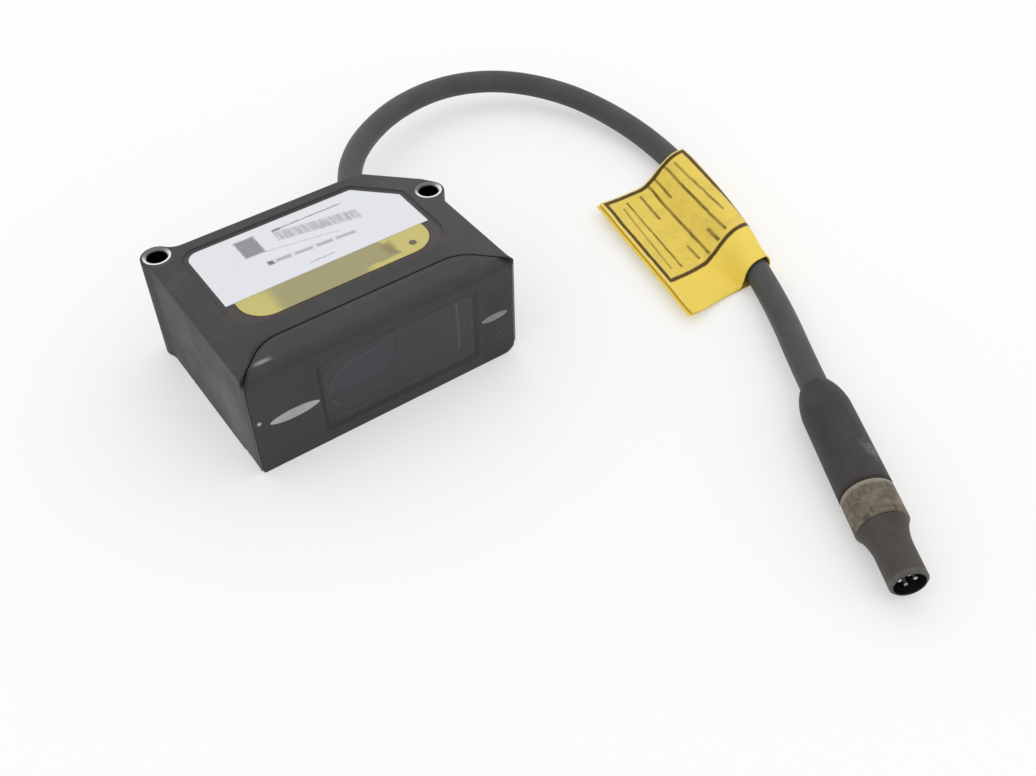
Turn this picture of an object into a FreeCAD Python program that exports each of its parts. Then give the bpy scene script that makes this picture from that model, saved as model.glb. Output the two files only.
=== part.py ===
import FreeCAD, Part
import math
import os
import Sketcher

# Laser distance sensor head with a pigtail cable, a flag label and a round plug. Millimetres.
# X runs to the right seen from the front, Y to the rear and Z up.
# The origin lies on the resting face, midway between the mounting holes across and midway along the head.

SIZES = (
    ("body_width", 60.0, "front face, left to right"),
    ("body_depth", 44.2, "front face to rear face"),
    ("body_height", 24.5, "resting face to top face"),
    ("body_shift", -0.9, "middle of the front face, from the middle of the mounting holes"),
    ("hole_spacing", 56.0, "mounting holes, left to right"),
    ("left_hole_setback", 0.7, "left mounting hole in front of the rear face"),
    ("right_hole_setback", 14.4, "right mounting hole in front of the rear face"),
    ("ear_radius", 3.4, "round of the mounting ears"),
    ("ear_blend", 4.0, "hollow between an ear and its wall"),
    ("rear_chamfer", 10.0, "cut-off rear right corner"),
    ("waist", 0.25, "how far the sides are drawn in"),
    ("flare_radius", 14.0, "curve from the front corner to the waist"),
    ("wall", 2.0, "housing walls"),
    ("edge_round", 0.4, "top edges of the housing"),
    ("left_corner_round", 1.2, "lower left front corner"),
    ("right_corner_round", 3.0, "lower right front corner"),
    ("bush_radius", 2.9, "outside of the mounting bushes"),
    ("bush_bore", 2.15, "bore radius of the mounting bushes"),
    ("bush_bevel", 0.3, "bevel at the ends of the bores"),
    ("bush_margin", 1.6, "housing left between a bush and the inside"),
    ("bond_gap", 0.02, "gap round bonded pieces"),
    ("cap_depth", 8.0, "front cover, front to rear"),
    ("cap_bend", 9.0, "rounded rear corners of the front cover"),
    ("cap_front", 2.6, "front wall of the front cover"),
    ("cap_seam", 0.3, "seam between front cover and housing"),
    ("cap_rib", 0.8, "height of the two ribs that seat the front cover"),
    ("bevel_depth", 2.0, "top front bevel, front to rear"),
    ("bevel_drop", 1.0, "top front bevel, height"),
    ("throat_width", 42.4, "opening behind the front cover"),
    ("throat_length", 2.5, "collar of that opening"),
    ("window_shift", 3.0, "middle of the window from the middle of the front"),
    ("window_width", 36.4, "window, left to right"),
    ("window_low", 2.4, "lower edge of the window"),
    ("window_height", 18.0, "window, low to high"),
    ("window_round", 1.0, "corners of the window"),
    ("window_ledge", 1.0, "ledge behind the window"),
    ("window_gap", 0.05, "gap round the pane"),
    ("pane_setback", 0.05, "front of the pane behind the front face"),
    ("pane_rear", 1.5, "rear of the pane behind the front face"),
    ("gasket", 0.3, "seal between pane and ledge"),
    ("dimple_axis", 0.5, "turning axis of the two dimples in front of the face"),
    ("dimple_swell", 0.9, "largest radius of the dimples"),
    ("left_dimple_length", 14.6, "turning shape of the dimple left of the window"),
    ("right_dimple_length", 9.3, "turning shape of the dimple right of the window"),
    ("left_dimple_shift", -21.0, "its middle from the middle of the front"),
    ("right_dimple_shift", 25.2, "its middle from the middle of the front"),
    ("dimple_level", 11.6, "height of both dimples"),
    ("label_recess", 0.3, "shallow field for the labels"),
    ("label_thickness", 0.15, "both labels"),
    ("label_border", 1.3, "bare field round the labels"),
    ("field_width", 48.5, "field for the labels, left to right"),
    ("field_shift", 0.25, "its middle from the middle of the front"),
    ("field_front", 12.3, "its front edge"),
    ("field_length", 29.0, "its front to rear size"),
    ("field_chamfer", 8.5, "its cut-off rear right corner"),
    ("field_front_round", 7.0, "its front corners"),
    ("field_rear_round", 4.0, "its rear left corner"),
    ("strip_front", 13.6, "front edge of the yellow strip"),
    ("strip_rear", 20.9, "rear edge of the yellow strip"),
    ("strip_inset", 1.8, "ends of the yellow strip inside the white label's"),
    ("label_split", 0.1, "gap between the labels"),
    ("lamp_inset", 7.8, "indicator from the field's right edge"),
    ("lamp_setback", 4.2, "indicator behind the field's front edge"),
    ("lamp_radius", 0.8, "indicator lens"),
    ("lamp_tail", 1.0, "indicator lens below the housing's top wall"),
    ("block_gap", 0.2, "optical block to the opening, each side"),
    ("block_front", 3.0, "front of the bezel"),
    ("block_rear", 38.0, "rear of the floor plate"),
    ("floor_plate", 1.6, "thickness of the floor plate"),
    ("bezel", 2.0, "thickness of the bezel"),
    ("bezel_drop", 2.5, "top of the bezel below the top wall"),
    ("barrier_inset", 4.8, "light barrier from the opening's right side"),
    ("barrier", 0.6, "thickness of the light barrier"),
    ("barrier_low", 6.5, "lower end of the light barrier"),
    ("barrier_top", 18.9, "upper end of the light barrier"),
    ("barrier_gap", 0.25, "light barrier to the pane"),
    ("lens_width", 18.0, "receiving lens, left to right"),
    ("lens_height", 14.4, "receiving lens, low to high"),
    ("lens_left", 6.6, "receiving lens from the opening's left side"),
    ("lens_level", 10.6, "axis height of the receiving lens"),
    ("lens_front", 2.9, "crown of the receiving lens"),
    ("lens_rear", 6.5, "rear of the receiving lens"),
    ("lens_sphere", 30.0, "curve of the receiving lens"),
    ("laser_inset", 2.6, "laser axis from the opening's right side"),
    ("laser_level", 6.2, "laser axis height"),
    ("beam_radius", 1.6, "beam hole in the bezel"),
    ("barrel_radius", 2.4, "laser barrel"),
    ("barrel_bore", 1.9, "bore radius of the laser barrel"),
    ("barrel_stop", 1.4, "stop radius at the front of the barrel"),
    ("barrel_lip", 1.0, "length of that stop"),
    ("barrel_length", 13.0, "laser barrel"),
    ("collimator_length", 2.0, "collimator lens"),
    ("diode_seat", 10.5, "flange of the laser diode from the barrel's front"),
    ("diode_flange", 1.2, "thickness of the flange"),
    ("diode_can", 1.3, "radius of the can"),
    ("can_length", 2.5, "length of the can"),
    ("lead_radius", 0.25, "leads of the laser diode"),
    ("lead_circle", 0.9, "radius of the circle of leads"),
    ("lead_length", 4.0, "leads of the laser diode"),
    ("cradle_left", 4.7, "barrel cradle left of the laser axis"),
    ("cradle_right", 1.2, "barrel cradle right of the laser axis"),
    ("sensor_x", -11.4, "image sensor, across"),
    ("sensor_depth", 31.0, "image sensor behind the front face"),
    ("sensor_tilt", 25.0, "turn of the image sensor, degrees"),
    ("bracket_width", 13.0, "bracket behind the sensor board"),
    ("bracket_thickness", 1.6, "bracket behind the sensor board"),
    ("bracket_height", 11.0, "bracket behind the sensor board"),
    ("sensor_board_width", 12.0, "sensor board"),
    ("sensor_board_height", 12.0, "sensor board"),
    ("sensor_board_thickness", 1.0, "sensor board"),
    ("chip_width", 9.0, "image sensor"),
    ("chip_height", 4.0, "image sensor"),
    ("chip_thickness", 1.0, "image sensor"),
    ("flex_width", 6.0, "ribbon"),
    ("flex_thickness", 0.3, "ribbon"),
    ("flex_overlap", 2.5, "ribbon on the sensor board"),
    ("board_drop", 3.5, "underside of the main board below the top wall"),
    ("board_thickness", 1.2, "main board"),
    ("board_front", 12.0, "front edge of the main board"),
    ("board_length", 26.0, "main board, front to rear"),
    ("board_width", 38.5, "main board, left to right"),
    ("board_gap", 0.7, "main board to the opening's left side"),
    ("post_radius", 2.1, "board posts"),
    ("post_inset", 2.9, "left board posts from the board's left edge"),
    ("post_step", 26.5, "right board post from the left ones"),
    ("post_front", 3.2, "front board posts from the board's front edge"),
    ("post_rear", 3.0, "rear board post from the board's rear edge"),
    ("screw_radius", 0.8, "shanks of the board screws"),
    ("screw_length", 5.0, "shanks below the board"),
    ("screw_head", 1.5, "head radius of the board screws"),
    ("screw_head_height", 1.2, "head height of the board screws"),
    ("screw_gap", 0.05, "gap round the shanks"),
    ("cable_radius", 2.85, "cable"),
    ("cable_x", 18.9, "cable exit, across"),
    ("cable_level", 12.2, "cable exit, height"),
    ("cable_start", 34.0, "inner end of the cable behind the front face"),
    ("boss_radius", 5.0, "boss round the cable"),
    ("boss_length", 1.5, "boss behind the rear face"),
    ("boss_root", 5.0, "boss inside the rear face"),
    ("gland_length", 7.7, "gland inside its bore"),
    ("gland_bore", 2.9, "bore radius of gland and clamp"),
    ("gland_radius", 3.7, "gland inside its bore"),
    ("gland_gap", 0.05, "gap round the gland"),
    ("gland_flange", 4.6, "flange radius of the gland"),
    ("flange_length", 0.8, "flange of the gland"),
    ("clamp_radius", 4.2, "crimp ring"),
    ("clamp_length", 2.8, "crimp ring"),
    ("clamp_gap", 0.2, "gap round the crimp ring"),
    ("core_radius", 0.55, "cores of the cable"),
    ("plug_x", 66.75, "rear of the plug, across"),
    ("plug_y", -73.57, "rear of the plug, along the head"),
    ("plug_heading", 243.75, "direction of the plug, degrees from X"),
    ("plug_entry", 6.0, "cable inside the grip"),
    ("grip_rear", 3.4, "grip radius at the rear"),
    ("grip_middle", 5.0, "grip radius in front of its rounded rear"),
    ("grip_radius", 5.15, "grip radius at the front"),
    ("grip_length", 27.5, "grip"),
    ("grip_bevel", 0.5, "front bevel of the grip"),
    ("grip_taper", 7.0, "rounded rear of the grip, along it"),
    ("grip_flat_low", 3.2, "slanted flats at the rear of the grip"),
    ("grip_flat_length", 8.5, "slanted flats along the grip"),
    ("spigot_radius", 3.2, "plug shell inside the grip"),
    ("spigot_length", 7.5, "plug shell inside the grip"),
    ("ring_radius", 5.1, "coupling ring"),
    ("ring_length", 7.8, "coupling ring"),
    ("ring_bevel", 0.3, "edges of the coupling ring"),
    ("ring_play", 0.1, "coupling ring, each end"),
    ("ring_clearance", 0.05, "coupling ring on its seat"),
    ("seat_radius", 4.0, "seat of the coupling ring"),
    ("collar_radius", 4.75, "collar in front of the coupling ring"),
    ("nose_radius", 3.6, "plug nose"),
    ("flare_length", 5.0, "hollow curve from collar to nose"),
    ("flare_curve", 14.0, "radius of that curve"),
    ("nose_length", 7.2, "plug nose in front of the curve"),
    ("nose_bevel", 0.4, "front edge of the nose"),
    ("mouth_radius", 2.9, "mouth of the plug"),
    ("mouth_length", 6.0, "mouth of the plug"),
    ("insert_radius", 2.55, "contact insert"),
    ("insert_stand", 2.0, "contact insert in the mouth"),
    ("insert_gap", 0.05, "gap round the contact insert"),
    ("pin_radius", 0.4, "contact pins"),
    ("pin_circle", 1.45, "radius of the circle of pins"),
    ("pin_stand", 3.0, "pins in front of the insert"),
    ("pin_root", 19.0, "pins inside the insert"),
    ("tag_y", 5.0, "far end of the flag label, along the head"),
    ("tag_length", 43.0, "flag label along the head"),
    ("tag_layer", 0.35, "one layer of the flag label"),
    ("tag_loop", 3.6, "outside radius of the fold"),
)

PIN_COUNT = 4
LEAD_COUNT = 3
FLAT_COUNT = 3
FULL_TURN = 360.0
RUN_SHARE = 0.45
LENS_CUT_SHARE = 0.7
TAG_INSIDE_SHARE = 1.2
OVERCUT = 1.0

# Cable beyond the gland: it bends away behind the head, comes down to the floor and ends in the plug.
CABLE_ROUTE = (
    (18.9, 26.45, 12.2),
    (27.25, 42.2, 11.4),
    (38.4, 53.1, 10.2),
    (52.9, 61.4, 8.9),
    (69.2, 64.35, 7.6),
    (83.95, 59.1, 6.4),
    (94.45, 45.85, 5.2),
    (99.05, 28.6, 4.1),
    (99.1, 9.6, 3.4),
    (94.2, -13.0, 3.3),
    (86.95, -33.35, 3.3),
    (79.1, -51.4, 3.7),
    (70.29, -66.4, 5.15),
)

# Cores from the cable to the main board, in cable radii: start offset across and up, landing place across.
CORES = ((-0.39, 0.39, -2.6), (-0.39, -0.39, -1.9), (0.39, 0.39, -1.2), (0.39, -0.39, -0.5))
CORE_STRAIGHT = 1.2
CORE_LANDING = 2.45
CORE_DROP = 1.0

# Parts on the main board, as shares of its width, length and thickness: left, front, width, length, height.
CHIPS = (
    (0.18, 0.23, 0.23, 0.35, 1.0),
    (0.48, 0.19, 0.16, 0.15, 0.85),
    (0.48, 0.46, 0.13, 0.19, 0.85),
    (0.22, 0.71, 0.10, 0.12, 1.2),
    (0.35, 0.73, 0.08, 0.12, 0.75),
    (0.70, 0.54, 0.21, 0.10, 1.3),
    (0.68, 0.77, 0.08, 0.06, 0.75),
    (0.81, 0.77, 0.08, 0.06, 0.75),
)

# Stations along the flag label from its far end to its near end: share of its length, middle of the fold,
# free edge, and how far the loop is spread, from 0 for tight to 1 for wide.
TAG_STATIONS = (
    (0.0, 98.3, 74.6, 1.0),
    (0.25, 96.0, 72.5, 0.83),
    (0.5, 93.1, 70.4, 0.6),
    (0.75, 89.5, 68.3, 0.32),
    (1.0, 85.3, 66.2, 0.0),
)

# Upper layer of the flag label from the fold down: place left of the fold when tight, more when spread, height.
TAG_SLOPE = ((1.9, 0.0, 6.8), (3.7, 1.2, 5.2), (4.5, 4.0, 2.2), (5.8, 6.0, 0.7))


class Size:
    """A length with the formula that binds it to the sheet."""

    def __init__(self, value, formula):
        self.value = value
        self.formula = formula

    def __add__(self, other):
        other = as_size(other)
        return Size(self.value + other.value, "(%s + %s)" % (self.formula, other.formula))

    def __sub__(self, other):
        other = as_size(other)
        return Size(self.value - other.value, "(%s - %s)" % (self.formula, other.formula))

    def __mul__(self, other):
        other = as_size(other)
        return Size(self.value * other.value, "(%s * %s)" % (self.formula, other.formula))

    def __truediv__(self, other):
        other = as_size(other)
        return Size(self.value / other.value, "(%s / %s)" % (self.formula, other.formula))

    def __rsub__(self, other):
        return as_size(other) - self

    def __neg__(self):
        return self * -1.0

    __radd__ = __add__
    __rmul__ = __mul__


def as_size(item):
    """Plain numbers become sizes of their own."""
    if isinstance(item, Size):
        return item
    return Size(float(item), "(%r)" % float(item))


def root(size):
    """Square root of a size."""
    return Size(math.sqrt(size.value), "sqrt(%s)" % size.formula)


def cosine(size):
    """Cosine of an angle in degrees."""
    return Size(math.cos(math.radians(size.value)), "cos(%s)" % size.formula)


def sine(size):
    """Sine of an angle in degrees."""
    return Size(math.sin(math.radians(size.value)), "sin(%s)" % size.formula)


document = FreeCAD.newDocument("LaserDistanceSensor")
sheet = document.addObject("Spreadsheet::Sheet", "Sizes")
for row, (alias, value, note) in enumerate(SIZES, 1):
    sheet.set("A%d" % row, alias)
    sheet.set("B%d" % row, repr(value))
    sheet.set("C%d" % row, note)
    sheet.setAlias("B%d" % row, alias)
document.recompute()


def size(alias):
    """Size of that name in the sheet."""
    return Size(float(sheet.get(alias)), "Sizes.%s" % alias)


def bind(item, prop, amount):
    """Set a property of an object by a formula."""
    item.setExpression(prop, as_size(amount).formula)


def spot(x, y, z):
    """Vector of three sizes."""
    return FreeCAD.Vector(as_size(x).value, as_size(y).value, as_size(z).value)


def place(item, x=0.0, y=0.0, z=0.0, turn=0.0):
    """Put an object at a point, turned about the vertical."""
    turning = FreeCAD.Rotation(FreeCAD.Vector(0, 0, 1), as_size(turn).value)
    item.Placement = FreeCAD.Placement(spot(x, y, z), turning)
    bind(item, "Placement.Base.x", x)
    bind(item, "Placement.Base.y", y)
    bind(item, "Placement.Base.z", z)
    if isinstance(turn, Size):
        bind(item, "Placement.Rotation.Angle", turn)
    return item


def new_body(name):
    """Empty solid under its own name."""
    return document.addObject("PartDesign::Body", name)


def sketch_on(body, plane, lift=0.0, up=0.0):
    """Empty sketch on one of the body's planes, moved along its normal and along its own second axis."""
    sketch = body.newObject("Sketcher::SketchObject", body.Name + "_sketch")
    support = [item for item in body.Origin.OriginFeatures if item.Role == plane][0]
    sketch.AttachmentSupport = [(support, "")]
    sketch.MapMode = "FlatFace"
    sketch.AttachmentOffset = FreeCAD.Placement(spot(0.0, up, lift), FreeCAD.Rotation())
    bind(sketch, "AttachmentOffset.Base.z", lift)
    bind(sketch, "AttachmentOffset.Base.y", up)
    return sketch


def constrain(sketch, kind, places, amount):
    """Driving dimension bound to a size."""
    amount = as_size(amount)
    index = sketch.addConstraint(Sketcher.Constraint(kind, *places, amount.value))
    bind(sketch, "Constraints[%d]" % index, amount)


def minor_arc(begin, end, radius, turn):
    """Shorter arc between two points, to the left for turn 1 and to the right for turn -1."""
    chord = end - begin
    left = FreeCAD.Vector(-chord.y, chord.x, 0) / chord.Length
    reach = math.sqrt(max(radius ** 2 - chord.Length ** 2 / 4.0, 0.0))
    centre = (begin + end) / 2.0 + left * (turn * reach)
    if turn < 0:
        begin, end = end, begin
    first = math.atan2(begin.y - centre.y, begin.x - centre.x)
    last = math.atan2(end.y - centre.y, end.x - centre.x)
    if last < first:
        last += 2.0 * math.pi
    return Part.ArcOfCircle(Part.Circle(centre, FreeCAD.Vector(0, 0, 1), radius), first, last)


def outline(sketch, corners, bends=None):
    """Closed outline; a bend (radius, turn) makes the side after that corner an arc."""
    bends = bends or {}
    count = len(corners)
    offset = sketch.GeometryCount
    ends = []
    for side in range(count):
        begin = spot(*corners[side], 0.0)
        end = spot(*corners[(side + 1) % count], 0.0)
        ends.append((1, 2))
        if side not in bends:
            sketch.addGeometry(Part.LineSegment(begin, end))
            continue
        radius, turn = bends[side]
        sketch.addGeometry(minor_arc(begin, end, as_size(radius).value, turn))
        if turn < 0:
            ends[side] = (2, 1)
    for side in range(count):
        other = (side + 1) % count
        meeting = (offset + side, ends[side][1], offset + other, ends[other][0])
        sketch.addConstraint(Sketcher.Constraint("Coincident", *meeting))
    for side, (x, y) in enumerate(corners):
        constrain(sketch, "DistanceX", (-1, 1, offset + side, ends[side][0]), x)
        constrain(sketch, "DistanceY", (-1, 1, offset + side, ends[side][0]), y)
    for side, (radius, turn) in bends.items():
        constrain(sketch, "Radius", (offset + side,), radius)
    return sketch


def rectangle(sketch, left, low, right, high):
    """Plain rectangle between two corners."""
    return outline(sketch, ((left, low), (right, low), (right, high), (left, high)))


def rounded_rectangle(sketch, left, low, right, high, radius):
    """Rectangle with four equal rounds."""
    corners = (
        (left + radius, low), (right - radius, low),
        (right, low + radius), (right, high - radius),
        (right - radius, high), (left + radius, high),
        (left, high - radius), (left, low + radius),
    )
    return outline(sketch, corners, {side: (radius, 1) for side in (1, 3, 5, 7)})


def disc(sketch, x, y, radius):
    """Circle."""
    offset = sketch.GeometryCount
    sketch.addGeometry(Part.Circle(spot(x, y, 0.0), FreeCAD.Vector(0, 0, 1), as_size(radius).value))
    constrain(sketch, "DistanceX", (-1, 1, offset, 3), x)
    constrain(sketch, "DistanceY", (-1, 1, offset, 3), y)
    constrain(sketch, "Radius", (offset,), radius)
    return sketch


def feature(body, kind, sketch, length, backward=False, both_ways=False):
    """Pad or pocket of a sketch."""
    item = body.newObject("PartDesign::" + kind, body.Name + "_" + kind.lower())
    item.Profile = sketch
    item.Length = as_size(length).value
    bind(item, "Length", length)
    item.Reversed = backward
    item.Midplane = both_ways
    sketch.Visibility = False
    return item


def pad(body, sketch, length, backward=False, both_ways=False):
    """Add the sketch's extrusion."""
    return feature(body, "Pad", sketch, length, backward, both_ways)


def pocket(body, sketch, length, backward=False, both_ways=False):
    """Take away the sketch's extrusion, and make sure that it did."""
    document.recompute()
    before = body.Shape.Volume
    item = feature(body, "Pocket", sketch, length, backward, both_ways)
    document.recompute()
    if body.Shape.Volume >= before:
        raise ValueError("nothing taken away from " + body.Name)
    return item


def turned(name, profile, upright=False, bends=None):
    """Turned piece: (radius, height) about Z when upright, else (distance, radius) about X."""
    body = new_body(name)
    sketch = outline(sketch_on(body, "XZ_Plane"), profile, bends)
    item = body.newObject("PartDesign::Revolution", name + "_turn")
    item.Profile = sketch
    item.ReferenceAxis = (sketch, ["V_Axis" if upright else "H_Axis"])
    item.Angle = FULL_TURN
    sketch.Visibility = False
    return body


def around(body, tool, count, axis="X_Axis"):
    """Repeat a feature evenly round one of the body's axes."""
    item = body.newObject("PartDesign::PolarPattern", body.Name + "_pattern")
    item.Originals = [tool]
    support = [entry for entry in body.Origin.OriginFeatures if entry.Role == axis][0]
    item.Axis = (support, [""])
    item.Angle = FULL_TURN
    item.Occurrences = count
    body.Tip = item
    return item


def box(name, low, high):
    """Block between two corners."""
    item = document.addObject("Part::Box", name)
    for prop, first, last in zip(("Length", "Width", "Height"), low, high):
        bind(item, prop, as_size(last) - first)
    return place(item, *low)


def rod(name, x, y, z, radius, length):
    """Upright cylinder."""
    item = document.addObject("Part::Cylinder", name)
    bind(item, "Radius", radius)
    bind(item, "Height", length)
    return place(item, x, y, z)


def group(name, items):
    """Several solids under one name."""
    item = document.addObject("Part::Compound", name)
    item.Links = items
    return item


def tube(points, radius):
    """Round tube along straight runs joined by tangent arcs; returns the shape and the arcs' radii."""
    edges = []
    radii = []
    start = points[0]
    for before, corner, after in zip(points, points[1:], points[2:]):
        back = before - corner
        ahead = after - corner
        reach = RUN_SHARE * min(back.Length, ahead.Length)
        half_turn = (math.pi - back.getAngle(ahead)) / 2.0
        radius_here = reach / math.tan(half_turn)
        enter = corner + back * (reach / back.Length)
        leave = corner + ahead * (reach / ahead.Length)
        inward = back / back.Length + ahead / ahead.Length
        sag = radius_here / math.cos(half_turn) - radius_here
        middle = corner + inward * (sag / inward.Length)
        edges.append(Part.LineSegment(start, enter).toShape())
        edges.append(Part.Arc(enter, middle, leave).toShape())
        radii.append(radius_here)
        start = leave
    edges.append(Part.LineSegment(start, points[-1]).toShape())
    path = Part.Wire(edges)
    section = Part.Face(Part.Wire(Part.makeCircle(radius, points[0], points[1] - points[0])))
    shape = path.makePipe(section)
    expected = math.pi * radius ** 2 * path.Length
    if abs(shape.Volume / expected - 1.0) > 0.01:
        raise ValueError("tube volume is off: %.1f for %.1f" % (shape.Volume, expected))
    return shape, radii, path.Length


# Places that several pieces share. Depths are counted from the front face.
left_hole_depth = size("body_depth") - size("left_hole_setback")
right_hole_depth = size("body_depth") - size("right_hole_setback")
front = -(left_hole_depth + size("ear_radius")) / 2.0
middle = size("body_shift")
left_side = middle - size("body_width") / 2.0
right_side = middle + size("body_width") / 2.0
ceiling = size("body_height") - size("wall")
throat_left = middle - size("throat_width") / 2.0
throat_right = middle + size("throat_width") / 2.0
hole_left = -size("hole_spacing") / 2.0
hole_right = size("hole_spacing") / 2.0
field_floor = size("body_height") - size("label_recess")
field_left = middle + size("field_shift") - size("field_width") / 2.0
field_right = field_left + size("field_width")
field_rear = size("field_front") + size("field_length")
plate_top = size("wall") + size("floor_plate")
laser_x = throat_right - size("laser_inset")
lens_x = throat_left + size("lens_left") + size("lens_width") / 2.0
bezel_rear = size("block_front") + size("bezel")
board_left = throat_left + size("board_gap")
board_level = ceiling - size("board_drop")
board_top = board_level + size("board_thickness")
lamp_x = field_right - size("lamp_inset")
lamp_depth = size("field_front") + size("lamp_setback")
boss_end = size("body_depth") + size("boss_length")
gland_start = boss_end - size("gland_length")
NODES = []


def finish(item, y=front, **where):
    """Keep a finished piece for export and put it in its place."""
    NODES.append(place(item, y=y, **where))
    return item


def cap_plan(sketch, inset, front_edge):
    """Plan of the front cover: slanted ends and rounded rear corners."""
    half = size("body_width") / 2.0 - inset * math.sqrt(2.0)
    rear = size("cap_depth") - inset
    radius = size("cap_bend") - inset
    tangent = radius * math.tan(math.pi / 8.0)
    slant = tangent * math.sqrt(0.5)
    rear_half = half - rear
    corners = (
        (middle - half + front_edge, as_size(front_edge)),
        (middle + half - front_edge, as_size(front_edge)),
        (middle + rear_half + slant, rear - slant),
        (middle + rear_half - tangent, rear),
        (middle - rear_half + tangent, rear),
        (middle - rear_half - slant, rear - slant),
    )
    return outline(sketch, corners, {2: (radius, 1), 4: (radius, 1)})


def round_lower_corners(body):
    """Round the lower left and right corners of the front."""
    for side, outward, alias in ((left_side, -1.0, "left_corner_round"), (right_side, 1.0, "right_corner_round")):
        radius = size(alias)
        sketch = sketch_on(body, "XZ_Plane", OVERCUT)
        inner = side - radius * outward
        outer = side + OVERCUT * outward
        corners = ((inner, as_size(0.0)), (side, radius), (outer, radius), (outer, as_size(-OVERCUT)),
                   (inner, as_size(-OVERCUT)))
        outline(sketch, corners, {0: (radius, outward)})
        pocket(body, sketch, size("cap_depth") + OVERCUT)


def round_top(body):
    """Round the top edges, save the one at the front."""
    document.recompute()
    solid = body.Tip
    edges = []
    for number, edge in enumerate(solid.Shape.Edges, 1):
        on_top = min(corner.Z for corner in edge.Vertexes) > ceiling.value
        at_front = max(corner.Y for corner in edge.Vertexes) < size("edge_round").value
        if on_top and not at_front:
            edges.append("Edge%d" % number)
    item = body.newObject("PartDesign::Fillet", body.Name + "_rounding")
    item.Base = (solid, edges)
    bind(item, "Radius", size("edge_round"))


def left_ear(sketch):
    """Left ear, blended into the side wall and the rear wall."""
    radius = size("ear_radius")
    blend = size("ear_blend")
    wall_x = left_side + size("waist")
    depth = left_hole_depth
    reach = radius + blend
    side_x = wall_x - blend
    side_y = depth - root(reach * reach - (side_x - hole_left) * (side_x - hole_left))
    rear_y = size("body_depth") + blend
    rear_x = hole_left + root(reach * reach - (rear_y - depth) * (rear_y - depth))
    share = radius / reach
    corners = (
        (wall_x, side_y),
        (hole_left + (side_x - hole_left) * share, depth + (side_y - depth) * share),
        (hole_left - radius, depth),
        (hole_left, depth + radius),
        (hole_left + (rear_x - hole_left) * share, depth + (rear_y - depth) * share),
        (rear_x, size("body_depth")),
        (rear_x, side_y),
    )
    return outline(sketch, corners, {0: (blend, 1), 1: (radius, -1), 2: (radius, -1), 3: (radius, -1), 4: (blend, 1)})


def right_ear(sketch):
    """Right ear, blended into the side wall and running out to the cut-off corner."""
    radius = size("ear_radius")
    blend = size("ear_blend")
    wall_x = right_side - size("waist")
    depth = right_hole_depth
    reach = radius + blend
    side_x = wall_x + blend
    side_y = depth - root(reach * reach - (side_x - hole_right) * (side_x - hole_right))
    share = radius / reach
    corner_y = size("body_depth") - size("rear_chamfer")
    along_x = right_side - hole_right
    along_y = corner_y - depth
    square = along_x * along_x + along_y * along_y
    near = radius * radius / square
    across = radius * root(square - radius * radius) / square
    corners = (
        (wall_x, side_y),
        (hole_right + (side_x - hole_right) * share, depth + (side_y - depth) * share),
        (hole_right + radius, depth),
        (hole_right + along_x * near + along_y * across, depth + along_y * near - along_x * across),
        (right_side, corner_y),
        (wall_x, corner_y + size("waist")),
        (hole_right - radius, corner_y),
        (hole_right - radius, side_y),
    )
    return outline(sketch, corners, {0: (blend, -1), 1: (radius, 1), 2: (radius, 1)})


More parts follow.
